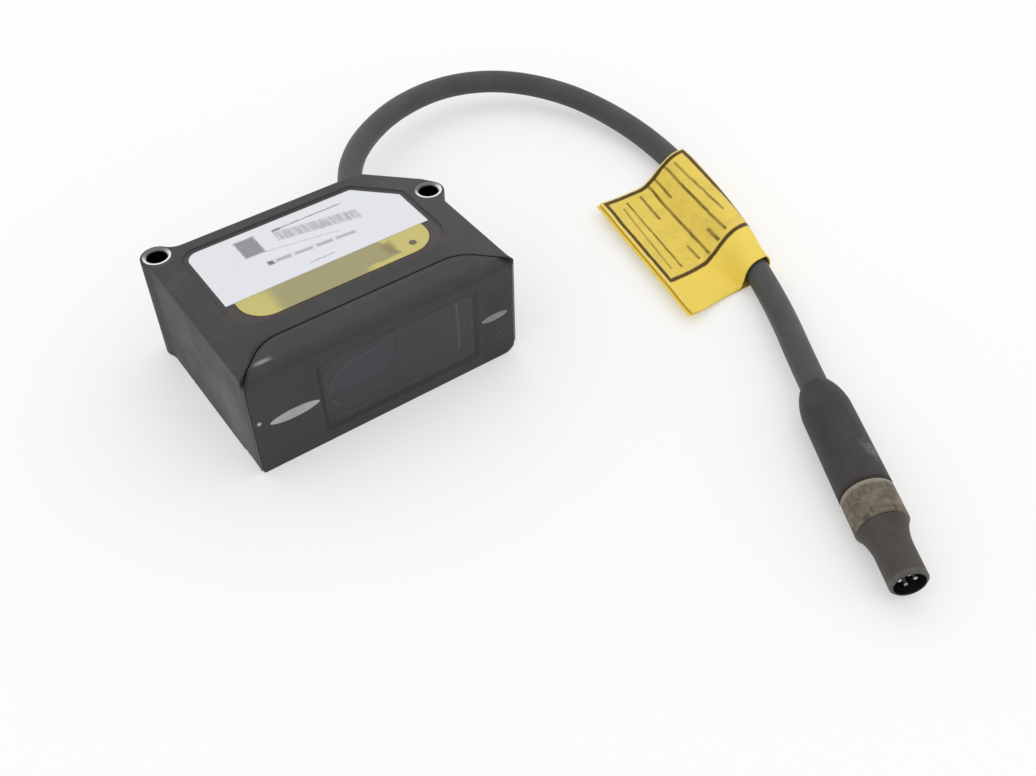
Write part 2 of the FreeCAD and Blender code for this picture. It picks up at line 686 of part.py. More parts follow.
def make_housing():
    """Moulded shell, open at the front."""
    body = new_body("housing")
    height = size("body_height")
    depth = size("body_depth")
    chamfer = size("rear_chamfer")
    plan = ((left_side, as_size(0.0)), (right_side, as_size(0.0)), (right_side, depth - chamfer),
            (right_side - chamfer, depth), (left_side, depth))
    pad(body, outline(sketch_on(body, "XY_Plane"), plan), height)

    bend = size("flare_radius")
    waist = size("waist")
    flare = root(2.0 * bend * waist - waist * waist)
    for side, outward in ((left_side, -1.0), (right_side, 1.0)):
        inner = side - waist * outward
        outer = side + OVERCUT * outward
        corners = ((side, as_size(0.0)), (inner, flare), (inner, depth + OVERCUT), (outer, depth + OVERCUT),
                   (outer, as_size(0.0)))
        sketch = sketch_on(body, "XY_Plane", height)
        pocket(body, outline(sketch, corners, {0: (bend, -outward)}), height)

    pad(body, left_ear(sketch_on(body, "XY_Plane")), height)
    pad(body, right_ear(sketch_on(body, "XY_Plane")), height)
    round_top(body)
    pocket(body, cap_plan(sketch_on(body, "XY_Plane", height), as_size(0.0), -OVERCUT), height)
    round_lower_corners(body)

    boss = disc(sketch_on(body, "XZ_Plane", size("boss_root") - depth), size("cable_x"), size("cable_level"),
                size("boss_radius"))
    pad(body, boss, size("boss_root") + size("boss_length"), backward=True)

    inner_right = hole_right - size("bush_radius") - size("bush_margin")
    inner_left = -inner_right
    inner_rear = depth - size("wall")
    slant = right_side + depth - chamfer - size("wall") * math.sqrt(2.0)
    collar = size("cap_depth") + size("throat_length")
    open_edge = size("cap_depth") - OVERCUT
    corners = (
        (throat_left, open_edge), (throat_right, open_edge), (throat_right, collar), (inner_right, collar),
        (inner_right, slant - inner_right), (slant - inner_rear, inner_rear), (inner_left, inner_rear),
        (inner_left, collar), (throat_left, collar),
    )
    pocket(body, outline(sketch_on(body, "XY_Plane", ceiling), corners), ceiling - size("wall"))

    cable_x = size("cable_x")
    level = size("cable_level")
    hollow = disc(sketch_on(body, "XZ_Plane", -size("cable_start")), cable_x, level,
                  size("clamp_radius") + size("clamp_gap"))
    pocket(body, hollow, gland_start - size("cable_start"))
    bore = disc(sketch_on(body, "XZ_Plane", -size("cable_start")), cable_x, level,
                size("gland_radius") + size("gland_gap"))
    pocket(body, bore, boss_end + OVERCUT - size("cable_start"))

    bores = sketch_on(body, "XY_Plane", height)
    disc(bores, hole_left, left_hole_depth, size("bush_radius") + size("bond_gap"))
    disc(bores, hole_right, right_hole_depth, size("bush_radius") + size("bond_gap"))
    pocket(body, bores, height)

    pocket(body, label_field(sketch_on(body, "XY_Plane", height)), size("label_recess"))
    lamp = disc(sketch_on(body, "XY_Plane", height), lamp_x, lamp_depth,
                size("lamp_radius") + size("bond_gap"))
    pocket(body, lamp, size("wall"))
    return finish(body)


def label_field(sketch):
    """Shallow field that takes both labels."""
    chamfer = size("field_chamfer")
    low = size("field_front")
    front_round = size("field_front_round")
    rear_round = size("field_rear_round")
    corners = (
        (field_left + front_round, low), (field_right - front_round, low), (field_right, low + front_round),
        (field_right, field_rear - chamfer), (field_right - chamfer, field_rear),
        (field_left + rear_round, field_rear), (field_left, field_rear - rear_round),
        (field_left, low + front_round),
    )
    return outline(sketch, corners, {1: (front_round, 1), 5: (rear_round, 1), 7: (front_round, 1)})


def make_front_cover():
    """Cap that closes the front, with the window's rebate, two dimples and two seating ribs."""
    body = new_body("front_cover")
    height = size("body_height")
    depth = size("cap_depth")
    pad(body, cap_plan(sketch_on(body, "XY_Plane"), size("cap_seam"), 0.0), height)
    round_lower_corners(body)

    bevel = sketch_on(body, "YZ_Plane")
    drop = height - size("bevel_drop")
    outline(bevel, ((as_size(0.0), drop), (size("bevel_depth"), height), (as_size(-OVERCUT), height),
                    (as_size(-OVERCUT), drop)))
    pocket(body, bevel, size("body_width") * 2.0, both_ways=True)

    ribs = sketch_on(body, "XZ_Plane", size("cap_seam") - depth)
    half = size("throat_width") / 2.0 - size("cap_bend") * math.tan(math.pi / 8.0)
    rectangle(ribs, middle - half, size("wall") - size("cap_rib"), middle + half, size("wall"))
    rectangle(ribs, middle - half, ceiling, middle + half, ceiling + size("cap_rib"))
    pad(body, ribs, size("cap_seam"), backward=True)

    hollow = sketch_on(body, "XZ_Plane", -size("cap_front"))
    pocket(body, rectangle(hollow, throat_left, size("wall"), throat_right, ceiling), depth)

    rebate = window_frame(sketch_on(body, "XZ_Plane", OVERCUT), as_size(0.0))
    pocket(body, rebate, size("pane_rear") + size("gasket") + OVERCUT)
    opening = window_frame(sketch_on(body, "XZ_Plane", OVERCUT), size("window_ledge"))
    pocket(body, opening, depth)

    for shift, length in (("left_dimple_shift", "left_dimple_length"), ("right_dimple_shift", "right_dimple_length")):
        dimple(body, middle + size(shift), size(length))
    return finish(body)


def window_frame(sketch, inset):
    """Outline of the window's rebate, drawn in by an amount."""
    centre = middle + size("window_shift")
    half = size("window_width") / 2.0 - inset
    low = size("window_low") + inset
    high = size("window_low") + size("window_height") - inset
    return rounded_rectangle(sketch, centre - half, low, centre + half, high, size("window_round"))


def dimple(body, centre, length):
    """Shallow spindle-shaped hollow in the front face."""
    swell = size("dimple_swell")
    sketch = sketch_on(body, "XY_Plane", size("dimple_level"), -size("dimple_axis"))
    radius = (length * length / 4.0 + swell * swell) / (swell * 2.0)
    apex = (centre, swell)
    corners = ((centre - length / 2.0, as_size(0.0)), (centre + length / 2.0, as_size(0.0)), apex)
    outline(sketch, corners, {1: (radius, 1), 2: (radius, 1)})
    document.recompute()
    before = body.Shape.Volume
    item = body.newObject("PartDesign::Groove", body.Name + "_groove")
    item.Profile = sketch
    item.ReferenceAxis = (sketch, ["H_Axis"])
    item.Angle = FULL_TURN
    sketch.Visibility = False
    document.recompute()
    if body.Shape.Volume >= before:
        raise ValueError("dimple takes nothing away")


def make_window():
    """Pane and the seal behind it."""
    pane = new_body("front_window")
    sketch = window_frame(sketch_on(pane, "XZ_Plane", -size("pane_setback")), size("window_gap"))
    pad(pane, sketch, size("pane_rear") - size("pane_setback"), backward=True)
    finish(pane)
    seal = new_body("window_gasket")
    sketch = window_frame(sketch_on(seal, "XZ_Plane", -size("pane_rear")), size("window_gap"))
    window_frame(sketch, size("window_ledge"))
    pad(seal, sketch, size("gasket"), backward=True)
    finish(seal)


def make_bushes():
    """Metal sleeves of the two mounting holes."""
    height = size("body_height")
    bore = size("bush_bore")
    bevel = size("bush_bevel")
    outside = size("bush_radius")
    profile = ((bore + bevel, as_size(0.0)), (outside, as_size(0.0)), (outside, height), (bore + bevel, height),
               (bore, height - bevel), (bore, bevel))
    left = turned("left_mount_bush", profile, upright=True)
    finish(left, x=hole_left, y=front + left_hole_depth)
    right = turned("right_mount_bush", profile, upright=True)
    finish(right, x=hole_right, y=front + right_hole_depth)


def make_labels():
    """White label and yellow strip in their field, with the indicator lens."""
    border = size("label_border")
    left = field_left + border
    right = field_right - border
    rear = field_rear - border
    low = size("strip_rear") + size("label_split")
    chamfer = size("field_chamfer") - border * (2.0 - math.sqrt(2.0))
    bend = size("field_rear_round") - border
    label = new_body("top_label")
    corners = ((left, low), (right, low), (right, rear - chamfer), (right - chamfer, rear), (left + bend, rear),
               (left, rear - bend))
    pad(label, outline(sketch_on(label, "XY_Plane", field_floor), corners, {4: (bend, 1)}), size("label_thickness"))
    finish(label)

    inset = size("strip_inset")
    bend = size("field_front_round") - border
    near = size("strip_front")
    far = size("strip_rear")
    strip = new_body("yellow_strip")
    corners = ((left + inset + bend, near), (right - inset - bend, near), (right - inset, near + bend),
               (right - inset, far), (left + inset, far), (left + inset, near + bend))
    sketch = outline(sketch_on(strip, "XY_Plane", field_floor), corners, {1: (bend, 1), 5: (bend, 1)})
    disc(sketch, lamp_x, lamp_depth, size("lamp_radius") + size("bond_gap"))
    pad(strip, sketch, size("label_thickness"))
    finish(strip)

    lamp = new_body("indicator_lens")
    base = ceiling - size("lamp_tail")
    sketch = disc(sketch_on(lamp, "XY_Plane", base), lamp_x, lamp_depth, size("lamp_radius"))
    pad(lamp, sketch, field_floor + size("label_thickness") - base)
    finish(lamp)
    led = rod("indicator_led", lamp_x, front + lamp_depth, board_top, size("lamp_radius"),
              base - board_top)
    NODES.append(led)


def lens_outline(sketch, extra):
    """D-shaped outline of the receiving lens: round at the left, straight at the right."""
    radius = size("lens_height") / 2.0 + extra
    left = lens_x - size("lens_width") / 2.0 - extra
    right = lens_x + size("lens_width") / 2.0 + extra
    level = size("lens_level")
    corners = ((left + radius, level - radius), (right, level - radius), (right, level + radius),
               (left + radius, level + radius), (left, level))
    return outline(sketch, corners, {3: (radius, 1), 4: (radius, 1)})


def make_receiver_lens():
    """Receiving lens: D-shaped, crowned towards the window."""
    body = new_body("receiver_lens")
    sketch = lens_outline(sketch_on(body, "XZ_Plane", -size("lens_front")), as_size(0.0))
    pad(body, sketch, size("lens_rear") - size("lens_front"), backward=True)
    reach = size("lens_width") * LENS_CUT_SHARE
    sphere = size("lens_sphere")
    sag = sphere - root(sphere * sphere - reach * reach)
    crown = sketch_on(body, "XY_Plane", size("lens_level"))
    crown.AttachmentOffset = FreeCAD.Placement(spot(lens_x, 0.0, size("lens_level")), FreeCAD.Rotation())
    bind(crown, "AttachmentOffset.Base.x", lens_x)
    near = size("lens_front")
    corners = ((as_size(0.0), near - OVERCUT), (reach, near - OVERCUT), (reach, near + sag), (as_size(0.0), near))
    outline(crown, corners, {2: (sphere, -1)})
    item = body.newObject("PartDesign::Groove", "receiver_lens_crown")
    item.Profile = crown
    item.ReferenceAxis = (crown, ["V_Axis"])
    item.Angle = FULL_TURN
    crown.Visibility = False
    return finish(body)


def post_places():
    """Board posts, across and behind the front face."""
    left = board_left + size("post_inset")
    near = size("board_front") + size("post_front")
    far = size("board_front") + size("board_length") - size("post_rear")
    return ((left, near), (left, far), (left + size("post_step"), near))


def bracket_point(along, away):
    """Point of the tilted sensor bracket's plan."""
    tilt = size("sensor_tilt")
    x = size("sensor_x") + along * cosine(tilt) - away * sine(tilt)
    y = size("sensor_depth") + along * sine(tilt) + away * cosine(tilt)
    return (x, y)


def make_optical_block():
    """Chassis: floor plate, bezel, light barrier, barrel cradle, sensor bracket and board posts."""
    body = new_body("optical_block")
    left = throat_left + size("block_gap")
    right = throat_right - size("block_gap")
    plate = rectangle(sketch_on(body, "XY_Plane", size("wall")), left, size("block_front"), right, size("block_rear"))
    pad(body, plate, size("floor_plate"))
    face = rectangle(sketch_on(body, "XZ_Plane", -size("block_front")), left, size("wall"), right, ceiling - size("bezel_drop"))
    pad(body, face, size("bezel"), backward=True)

    barrier_x = throat_right - size("barrier_inset")
    fin = rectangle(sketch_on(body, "XZ_Plane", -size("block_front")), barrier_x, size("barrier_low"),
                    barrier_x + size("barrier"), size("barrier_top"))
    pad(body, fin, size("block_front") - size("pane_rear") - size("barrier_gap"))

    cradle = rectangle(sketch_on(body, "XZ_Plane", -bezel_rear), laser_x - size("cradle_left"), size("wall"),
                       laser_x + size("cradle_right"), size("laser_level"))
    pad(body, cradle, size("barrel_length"), backward=True)

    half = size("bracket_width") / 2.0
    near = size("sensor_board_thickness") / 2.0
    far = near + size("bracket_thickness")
    corners = tuple(bracket_point(along, away) for along, away in
                    ((-half, near), (half, near), (half, far), (-half, far)))
    bracket = outline(sketch_on(body, "XY_Plane", size("wall")), corners)
    pad(body, bracket, size("floor_plate") + size("bracket_height"))

    posts = sketch_on(body, "XY_Plane", size("wall"))
    for x, y in post_places():
        disc(posts, x, y, size("post_radius"))
    pad(body, posts, board_level - size("wall"))

    opening = lens_outline(sketch_on(body, "XZ_Plane", OVERCUT - size("block_front")), size("bond_gap"))
    pocket(body, opening, size("lens_rear") - size("block_front") + OVERCUT)
    beam = disc(sketch_on(body, "XZ_Plane", OVERCUT - size("block_front")), laser_x, size("laser_level"),
                size("beam_radius"))
    pocket(body, beam, size("bezel") + OVERCUT)
    bore = disc(sketch_on(body, "XZ_Plane", -bezel_rear), laser_x, size("laser_level"),
                size("barrel_radius") + size("bond_gap"))
    pocket(body, bore, size("barrel_length") + OVERCUT)
    holes = sketch_on(body, "XY_Plane", board_level)
    for x, y in post_places():
        disc(holes, x, y, size("screw_radius") + size("screw_gap"))
    pocket(body, holes, size("screw_length"))
    return finish(body)


def make_laser():
    """Laser barrel with its collimator lens and diode."""
    across = {"x": laser_x, "y": front + bezel_rear, "z": size("laser_level"), "turn": 90.0}
    bore = size("barrel_bore")
    outside = size("barrel_radius")
    stop = size("barrel_stop")
    lip = size("barrel_lip")
    length = size("barrel_length")
    nil = as_size(0.0)
    profile = ((nil, stop), (lip, stop), (lip, bore), (length, bore), (length, outside), (nil, outside))
    finish(turned("laser_barrel", profile), **across)

    lens_radius = bore - size("bond_gap")
    end = lip + size("collimator_length")
    profile = ((lip, nil), (end, nil), (end, lens_radius), (lip, lens_radius))
    finish(turned("collimator_lens", profile), **across)

    seat = size("diode_seat")
    rear = seat + size("diode_flange")
    can = seat - size("can_length")
    profile = ((can, nil), (rear, nil), (rear, lens_radius), (seat, lens_radius), (seat, size("diode_can")),
               (can, size("diode_can")))
    diode = turned("laser_diode", profile)
    lead = disc(sketch_on(diode, "YZ_Plane", rear), nil, size("lead_circle"), size("lead_radius"))
    around(diode, pad(diode, lead, size("lead_length")), LEAD_COUNT)
    finish(diode, **across)


def make_sensor():
    """Image sensor on its tilted board, with the ribbon to the main board."""
    tilt = size("sensor_tilt")
    thick = size("sensor_board_thickness") / 2.0

    def tilted(name, width, near, far, low, high):
        item = document.addObject("Part::Box", name)
        bind(item, "Length", width)
        bind(item, "Width", far - near)
        bind(item, "Height", high - low)
        x, y = bracket_point(-width / 2.0, near)
        NODES.append(place(item, x, front + y, low, tilt))

    tilted("sensor_board", size("sensor_board_width"), -thick, thick, plate_top,
           plate_top + size("sensor_board_height"))
    chip_low = size("lens_level") - size("chip_height")
    tilted("image_sensor", size("chip_width"), -thick - size("chip_thickness"), -thick, chip_low,
           chip_low + size("chip_height"))
    ribbon_low = plate_top + size("sensor_board_height") - size("flex_overlap")
    tilted("flex_link", size("flex_width"), -thick - size("flex_thickness"), -thick, ribbon_low, board_level)


def make_main_board():
    """Main board, the parts on it and its screws."""
    near = size("board_front")
    board = new_body("main_board")
    sketch = rectangle(sketch_on(board, "XY_Plane", board_level), board_left, near,
                       board_left + size("board_width"), near + size("board_length"))
    for x, y in post_places():
        disc(sketch, x, y, size("screw_radius") + size("screw_gap"))
    pad(board, sketch, size("board_thickness"))
    finish(board)

    chips = []
    across = size("board_width")
    along = size("board_length")
    for number, (left, low, width, length, height) in enumerate(CHIPS, 1):
        corner = (board_left + across * left, front + near + along * low, board_top)
        opposite = (corner[0] + across * width, corner[1] + along * length, board_top + size("board_thickness") * height)
        chips.append(box("chip_%d" % number, corner, opposite))
    NODES.append(group("board_chips", chips))

    screws = []
    for number, (x, y) in enumerate(post_places(), 1):
        shank = rod("shank_%d" % number, x, front + y, board_level - size("screw_length"),
                    size("screw_radius"), size("screw_length") + size("board_thickness"))
        head = rod("head_%d" % number, x, front + y, board_top, size("screw_head"), size("screw_head_height"))
        screw = document.addObject("Part::Fuse", "screw_%d" % number)
        screw.Base = head
        screw.Tool = shank
        screws.append(screw)
    NODES.append(group("board_screws", screws))


def make_cable_entry():
    """Gland in the rear wall and crimp ring inside it."""
    along = {"x": size("cable_x"), "y": front + gland_start, "z": size("cable_level"), "turn": 90.0}
    bore = size("gland_bore")
    nil = as_size(0.0)
    shoulder = size("gland_length")
    end = shoulder + size("flange_length")
    flange = size("gland_flange")
    slope = size("flange_length") / 2.0
    profile = ((nil, bore), (end, bore), (end, flange - slope), (end - slope, flange), (shoulder, flange),
               (shoulder, size("gland_radius")), (nil, size("gland_radius")))
    finish(turned("cable_gland", profile), **along)
    back = -size("clamp_length")
    profile = ((back, bore), (nil, bore), (nil, size("clamp_radius")), (back, size("clamp_radius")))
    finish(turned("cable_clamp", profile), **along)


def make_cable():
    """Cable from inside the head to the plug, and its four cores to the main board."""
    heading = math.radians(size("plug_heading").value)
    entry = size("plug_entry").value
    start = spot(size("cable_x"), front + size("cable_start"), size("cable_level"))
    end = spot(size("plug_x") + entry * math.cos(heading), size("plug_y") + entry * math.sin(heading),
               size("grip_radius"))
    points = [start] + [FreeCAD.Vector(*point) for point in CABLE_ROUTE] + [end]
    shape, radii, length = tube(points, size("cable_radius").value)
    print("cable length %.1f, bend radii %s" % (length, ", ".join("%.1f" % radius for radius in radii)))
    cable = document.addObject("Part::Feature", "cable")
    cable.Shape = shape
    NODES.append(cable)

    cores = []
    top = board_level.value
    radius = size("cable_radius").value
    for across, up, landing in CORES:
        first = start + FreeCAD.Vector(across, 0, up) * radius
        second = first - FreeCAD.Vector(0, CORE_STRAIGHT * radius, 0)
        third = FreeCAD.Vector(start.x + landing * radius, start.y - CORE_LANDING * radius, top - CORE_DROP * radius)
        last = FreeCAD.Vector(third.x, third.y, top)
        cores.append(tube([first, second, third, last], size("core_radius").value)[0])
    wires = document.addObject("Part::Feature", "lead_wires")
    wires.Shape = Part.makeCompound(cores)
    NODES.append(wires)


def tag_section(body, station, inset):
    """Section of the flag label at a station, or of its hollow when drawn in by a layer."""
    along, fold, edge, spread = station
    loop = size("tag_loop")
    radius = loop - inset
    layer = size("tag_layer")
    sketch = sketch_on(body, "XZ_Plane", size("tag_length") * along - size("tag_y"))
    middle_x = as_size(fold)
    slope = [(middle_x - tight - wide * spread + inset * TAG_INSIDE_SHARE, height - inset)
             for tight, wide, height in TAG_SLOPE]
    corners = [(middle_x, loop - radius), (middle_x + radius, loop), (middle_x, loop + radius)] + slope
    if inset.value == 0.0:
        corners += [(as_size(edge), layer * 2.0), (as_size(edge), as_size(0.0))]
    return outline(sketch, corners, {0: (radius, 1), 1: (radius, 1)})


def make_cable_tag():
    """Flag label folded round the cable, its two halves stuck together on the floor."""
    body = new_body("cable_tag")
    for kind, inset in (("AdditiveLoft", as_size(0.0)), ("SubtractiveLoft", size("tag_layer"))):
        sections = [tag_section(body, station, inset) for station in TAG_STATIONS]
        document.recompute()
        loft = body.newObject("PartDesign::" + kind, "cable_tag_" + kind.lower())
        loft.Profile = sections[0]
        loft.Sections = sections[1:]
        loft.Ruled = True
        for sketch in sections:
            sketch.Visibility = False
    finish(body, y=as_size(0.0))


def make_plug():
    """Round plug: grip, shell, turning ring, contact insert and pins."""
    where = {"x": size("plug_x"), "y": size("plug_y"), "z": size("grip_radius"), "turn": size("plug_heading")}
    nil = as_size(0.0)
    gap = size("bond_gap")
    grip_end = size("grip_length")
    spigot_start = grip_end - size("spigot_length")
    bevel = size("grip_bevel")
    taper = size("grip_taper")
    rise = size("grip_middle") - size("grip_rear")
    entry = size("plug_entry")
    profile = (
        (entry, nil), (entry, size("gland_bore")), (nil, size("gland_bore")), (nil, size("grip_rear")),
        (taper, size("grip_middle")), (grip_end - bevel, size("grip_radius")),
        (grip_end, size("grip_radius") - bevel), (grip_end, size("spigot_radius") + gap),
        (spigot_start, size("spigot_radius") + gap), (spigot_start, nil),
    )
    curve = (taper * taper + rise * rise) / (rise * 2.0)
    grip = turned("connector_grip", profile, bends={3: (curve, -1)})
    flat_low = size("grip_flat_low")
    flat_end = size("grip_flat_length")
    high = size("grip_radius")
    cut = sketch_on(grip, "XY_Plane")
    outline(cut, ((nil, flat_low), (flat_end, high), (nil, high)))
    around(grip, pocket(grip, cut, high * 2.0, both_ways=True), FLAT_COUNT)
    finish(grip, **where)

    ring_start = grip_end + size("ring_play")
    ring_end = ring_start + size("ring_length")
    collar_at = ring_end + size("ring_play")
    nose_at = collar_at + size("flare_length")
    nose_end = nose_at + size("nose_length")
    mouth_at = nose_end - size("mouth_length")
    insert_bore = size("insert_radius") + size("insert_gap")
    tip = size("nose_bevel")
    profile = (
        (spigot_start, insert_bore), (mouth_at, insert_bore), (mouth_at, size("mouth_radius")),
        (nose_end, size("mouth_radius")), (nose_end, size("nose_radius") - tip),
        (nose_end - tip, size("nose_radius")), (nose_at, size("nose_radius")), (collar_at, size("collar_radius")),
        (collar_at, size("seat_radius")), (grip_end, size("seat_radius")), (grip_end, size("spigot_radius")),
        (spigot_start, size("spigot_radius")),
    )
    finish(turned("connector_shell", profile, bends={6: (size("flare_curve"), -1)}), **where)

    bore = size("seat_radius") + size("ring_clearance")
    outside = size("ring_radius")
    edge = size("ring_bevel")
    profile = ((ring_start, bore), (ring_end, bore), (ring_end, outside - edge), (ring_end - edge, outside),
               (ring_start + edge, outside), (ring_start, outside - edge))
    finish(turned("coupling_ring", profile), **where)

    insert_end = mouth_at + size("insert_stand")
    profile = ((spigot_start, nil), (insert_end, nil), (insert_end, size("insert_radius")),
               (spigot_start, size("insert_radius")))
    insert = turned("contact_insert", profile)
    hole = disc(sketch_on(insert, "YZ_Plane", insert_end), size("pin_circle"), nil, size("pin_radius") + gap)
    around(insert, pocket(insert, hole, size("pin_root")), PIN_COUNT)
    finish(insert, **where)

    pins = new_body("contact_pins")
    sketch = sketch_on(pins, "YZ_Plane", insert_end - size("pin_root"))
    for x, y in ((1, 0), (0, 1), (-1, 0), (0, -1)):
        disc(sketch, size("pin_circle") * x, size("pin_circle") * y, size("pin_radius"))
    pad(pins, sketch, size("pin_root") + size("pin_stand"))
    finish(pins, **where)


make_housing()
make_front_cover()
make_window()
make_bushes()
make_labels()
make_receiver_lens()
make_optical_block()
make_laser()
make_sensor()
make_main_board()
make_cable_entry()
make_cable()
make_cable_tag()
make_plug()

document.recompute()
for item in document.Objects:
    if "Invalid" in item.State or "Error" in item.State:
        raise ValueError("%s did not build: %s" % (item.Name, item.State))
os.makedirs("parts", exist_ok=True)
for node in NODES:
    if node.Shape.isNull() or not node.Shape.isValid():
        raise ValueError("%s has no valid shape" % node.Label)
    node.Shape.exportStep(os.path.join("parts", node.Label + ".step"))
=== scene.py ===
import math

import bmesh
import bpy
from bpy.props import FloatProperty, FloatVectorProperty, PointerProperty
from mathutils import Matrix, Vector


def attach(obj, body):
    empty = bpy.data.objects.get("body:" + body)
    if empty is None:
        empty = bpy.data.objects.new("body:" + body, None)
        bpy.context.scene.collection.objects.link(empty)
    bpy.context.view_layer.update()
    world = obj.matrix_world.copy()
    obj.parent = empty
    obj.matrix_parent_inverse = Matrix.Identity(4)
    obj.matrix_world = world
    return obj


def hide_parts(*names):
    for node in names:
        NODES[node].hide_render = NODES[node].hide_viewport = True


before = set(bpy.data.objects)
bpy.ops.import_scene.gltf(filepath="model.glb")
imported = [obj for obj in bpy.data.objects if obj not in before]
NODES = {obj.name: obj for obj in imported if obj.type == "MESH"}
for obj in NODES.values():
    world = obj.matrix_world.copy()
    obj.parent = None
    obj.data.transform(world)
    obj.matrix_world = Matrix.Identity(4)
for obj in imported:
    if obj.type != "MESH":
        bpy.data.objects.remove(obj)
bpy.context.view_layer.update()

bl_info = {
    "name": "Laser distance sensor",
    "version": (1, 0, 0),
    "blender": (4, 5, 0),
    "location": "View3D > Sidebar > Sensor",
    "description": "Finishes a laser distance sensor head with its cable, flag label and plug",
    "category": "Add Mesh",
}

MILLIMETRE = 0.001

# Floor in metres, and the share of its own plain colour that it shows to the camera, the rest being lit.
FLOOR_SIZE = 6.0
FLOOR_HEIGHT = -0.00005
FLOOR_PALENESS = 0.35

# Soft lamps and the spot that they point at, in metres: name, place, size, share of the key light's power.
LAMP_AIM = Vector((0.03, 0.0, 0.0))
LAMPS = (
    ("key", Vector((0.50, 0.45, 1.20)), 1.2, 1.0),
    ("side", Vector((-0.9, 0.25, 0.8)), 0.8, 0.35),
)

# Cable from inside the head round to the plug, in metres.
CABLE_POINTS = (
    (0.01890, 0.01055, 0.01220),
    (0.01890, 0.02645, 0.01220),
    (0.02725, 0.04220, 0.01140),
    (0.03840, 0.05310, 0.01020),
    (0.05290, 0.06140, 0.00890),
    (0.06920, 0.06435, 0.00760),
    (0.08395, 0.05910, 0.00640),
    (0.09445, 0.04585, 0.00520),
    (0.09905, 0.02860, 0.00410),
    (0.09910, 0.00960, 0.00340),
    (0.09420, -0.01300, 0.00330),
    (0.08695, -0.03335, 0.00330),
    (0.07910, -0.05140, 0.00370),
    (0.07029, -0.06640, 0.00515),
    (0.06410, -0.07895, 0.00515),
)

# All places from here on are in millimetres.
# Flag label in even steps from its far end to its near end: fold, free edge, spread of the loop.
FLAG_STATIONS = (
    (98.3, 74.6, 1.0),
    (96.0, 72.5, 0.92),
    (93.1, 70.4, 0.9),
    (89.5, 68.3, 0.85),
    (85.3, 66.2, 0.0),
)

# Upper layer from the fold down to the floor: left of the fold when tight, more when spread, height.
FLAG_SLOPE = ((1.9, 0.0, 6.58), (3.7, 1.2, 4.93), (4.5, 4.0, 1.98), (5.8, 6.0, 0.58))

# Film round the cable: height of its middle, radius, steps of the half turn.
LOOP_HEIGHT = 3.6
LOOP_RADIUS = 3.42
LOOP_STEPS = 8

# Lower layer under the cable: left of the fold, height.
FLAG_UNDER = ((0.0, 0.18), (4.0, 0.17))

# Free edge: heights of both layers, share of the lift where they start to rise, reach beyond the stations,
# lower layer beyond the upper one, pull towards the front and how far in the pull starts.
UPPER_EDGE_HEIGHT = 0.55
LOWER_EDGE_HEIGHT = 0.2
KNEE_LIFT = 0.3
FLAG_REACH = 1.8
FLAG_OFFSET = 0.9
FLAG_PULL = 1.8
FLAG_PULL_START = 13.0

# Ripple of the upper layer: from and to on the film, height, radians per millimetre down and along it.
RIPPLE_FROM = 14.0
RIPPLE_TO = 34.0
RIPPLE_HEIGHT = 0.05
RIPPLE_DOWN = 0.26
RIPPLE_ALONG = 0.18

# Grid of the film and the length that its UV map spans.
FLAG_COLUMNS = 96
FLAG_ROWS = 40
UV_SPAN = 100.0

# Printed border of the flag label on the flat film: middle, half sizes inside and outside.
BORDER_MIDDLE = (15.1, 16.4)
BORDER_INSIDE = (13.05, 14.85)
BORDER_OUTSIDE = (14.25, 16.05)

# Ruled strokes on the flag label: lean, place across, middle and half along, half width, strength.
FLAG_STROKES = (
    (-0.04, 5.0, 16.5, 12.0, 0.3, 0.7),
    (0.0, 7.7, 16.2, 13.2, 0.32, 0.9),
    (0.0, 12.4, 7.8, 5.0, 0.4, 0.9),
    (0.0, 13.2, 27.0, 2.8, 0.36, 0.85),
    (-0.01, 16.0, 16.0, 14.8, 0.36, 1.0),
    (0.0, 18.5, 5.4, 4.2, 0.3, 0.9),
    (0.0, 22.4, 15.5, 14.4, 0.34, 1.0),
    (0.0, 19.5, 28.0, 2.6, 0.45, 1.0),
    (0.03, 25.1, 13.8, 10.8, 0.28, 0.85),
)

# Joint of front cover and housing in plan: middle, half of its straight length, its bends' radius and place.
SEAM_MIDDLE = -0.9
SEAM_STRAIGHT = 18.272
SEAM_BEND = 9.0
SEAM_BEND_PLACE = -24.45

# Sunk field of the labels: middle and half sizes in plan, levels between which its floor lies.
FIELD_MIDDLE = (-0.6, 3.3)
FIELD_HALF = (23.6, 14.0)
FIELD_FLOOR = (24.05, 24.26)

# Creases on the top, darkened as painted shade: slope and middle of each, half length and half width of all.
CREASES = ((-0.73, -25.1, 15.5), (-1.0, -27.4, -7.5))
CREASE_HALF = (1.5, 0.1)

# Left wall from the edge of the top outwards, and the middle of the painted reflection low on it.
LEFT_WALL = (-28.5, -30.0)
WALL_SHEEN = (0.0, -13.5, 9.5)

# Dimples of the front cover, painted pale: middle across and up, half length, half height.
DIMPLES = ((-21.85, 11.7, 5.3, 1.15), (24.1, 11.55, 3.15, 0.82))

# Bright line at the left bend of the front cover: from and to across, place along.
BEND_GLEAM = (-26.4, -23.6)
BEND_GLEAM_PLACE = -20.65

# Painted highlight arcs round the lower right corner of the front: their common middle, radii and half width.
HIGHLIGHT_ARC_MIDDLE = (20.0, 0.0, 14.0)
HIGHLIGHT_ARC_RADII = (7.6, 9.0, 10.2)
HIGHLIGHT_ARC_HALF = 0.05

# Recess of the window, whose walls are painted pale as painted light: from and to across and up, depth at
# which it starts.
RECESS_ACROSS = (-16.3, 20.5)
RECESS_UP = (2.2, 20.6)
RECESS_DEPTH = (-23.43, -23.36)

# Pale dot on the left edge of the front.
EDGE_PALE_DOT = (-29.2, -23.2, 12.9)
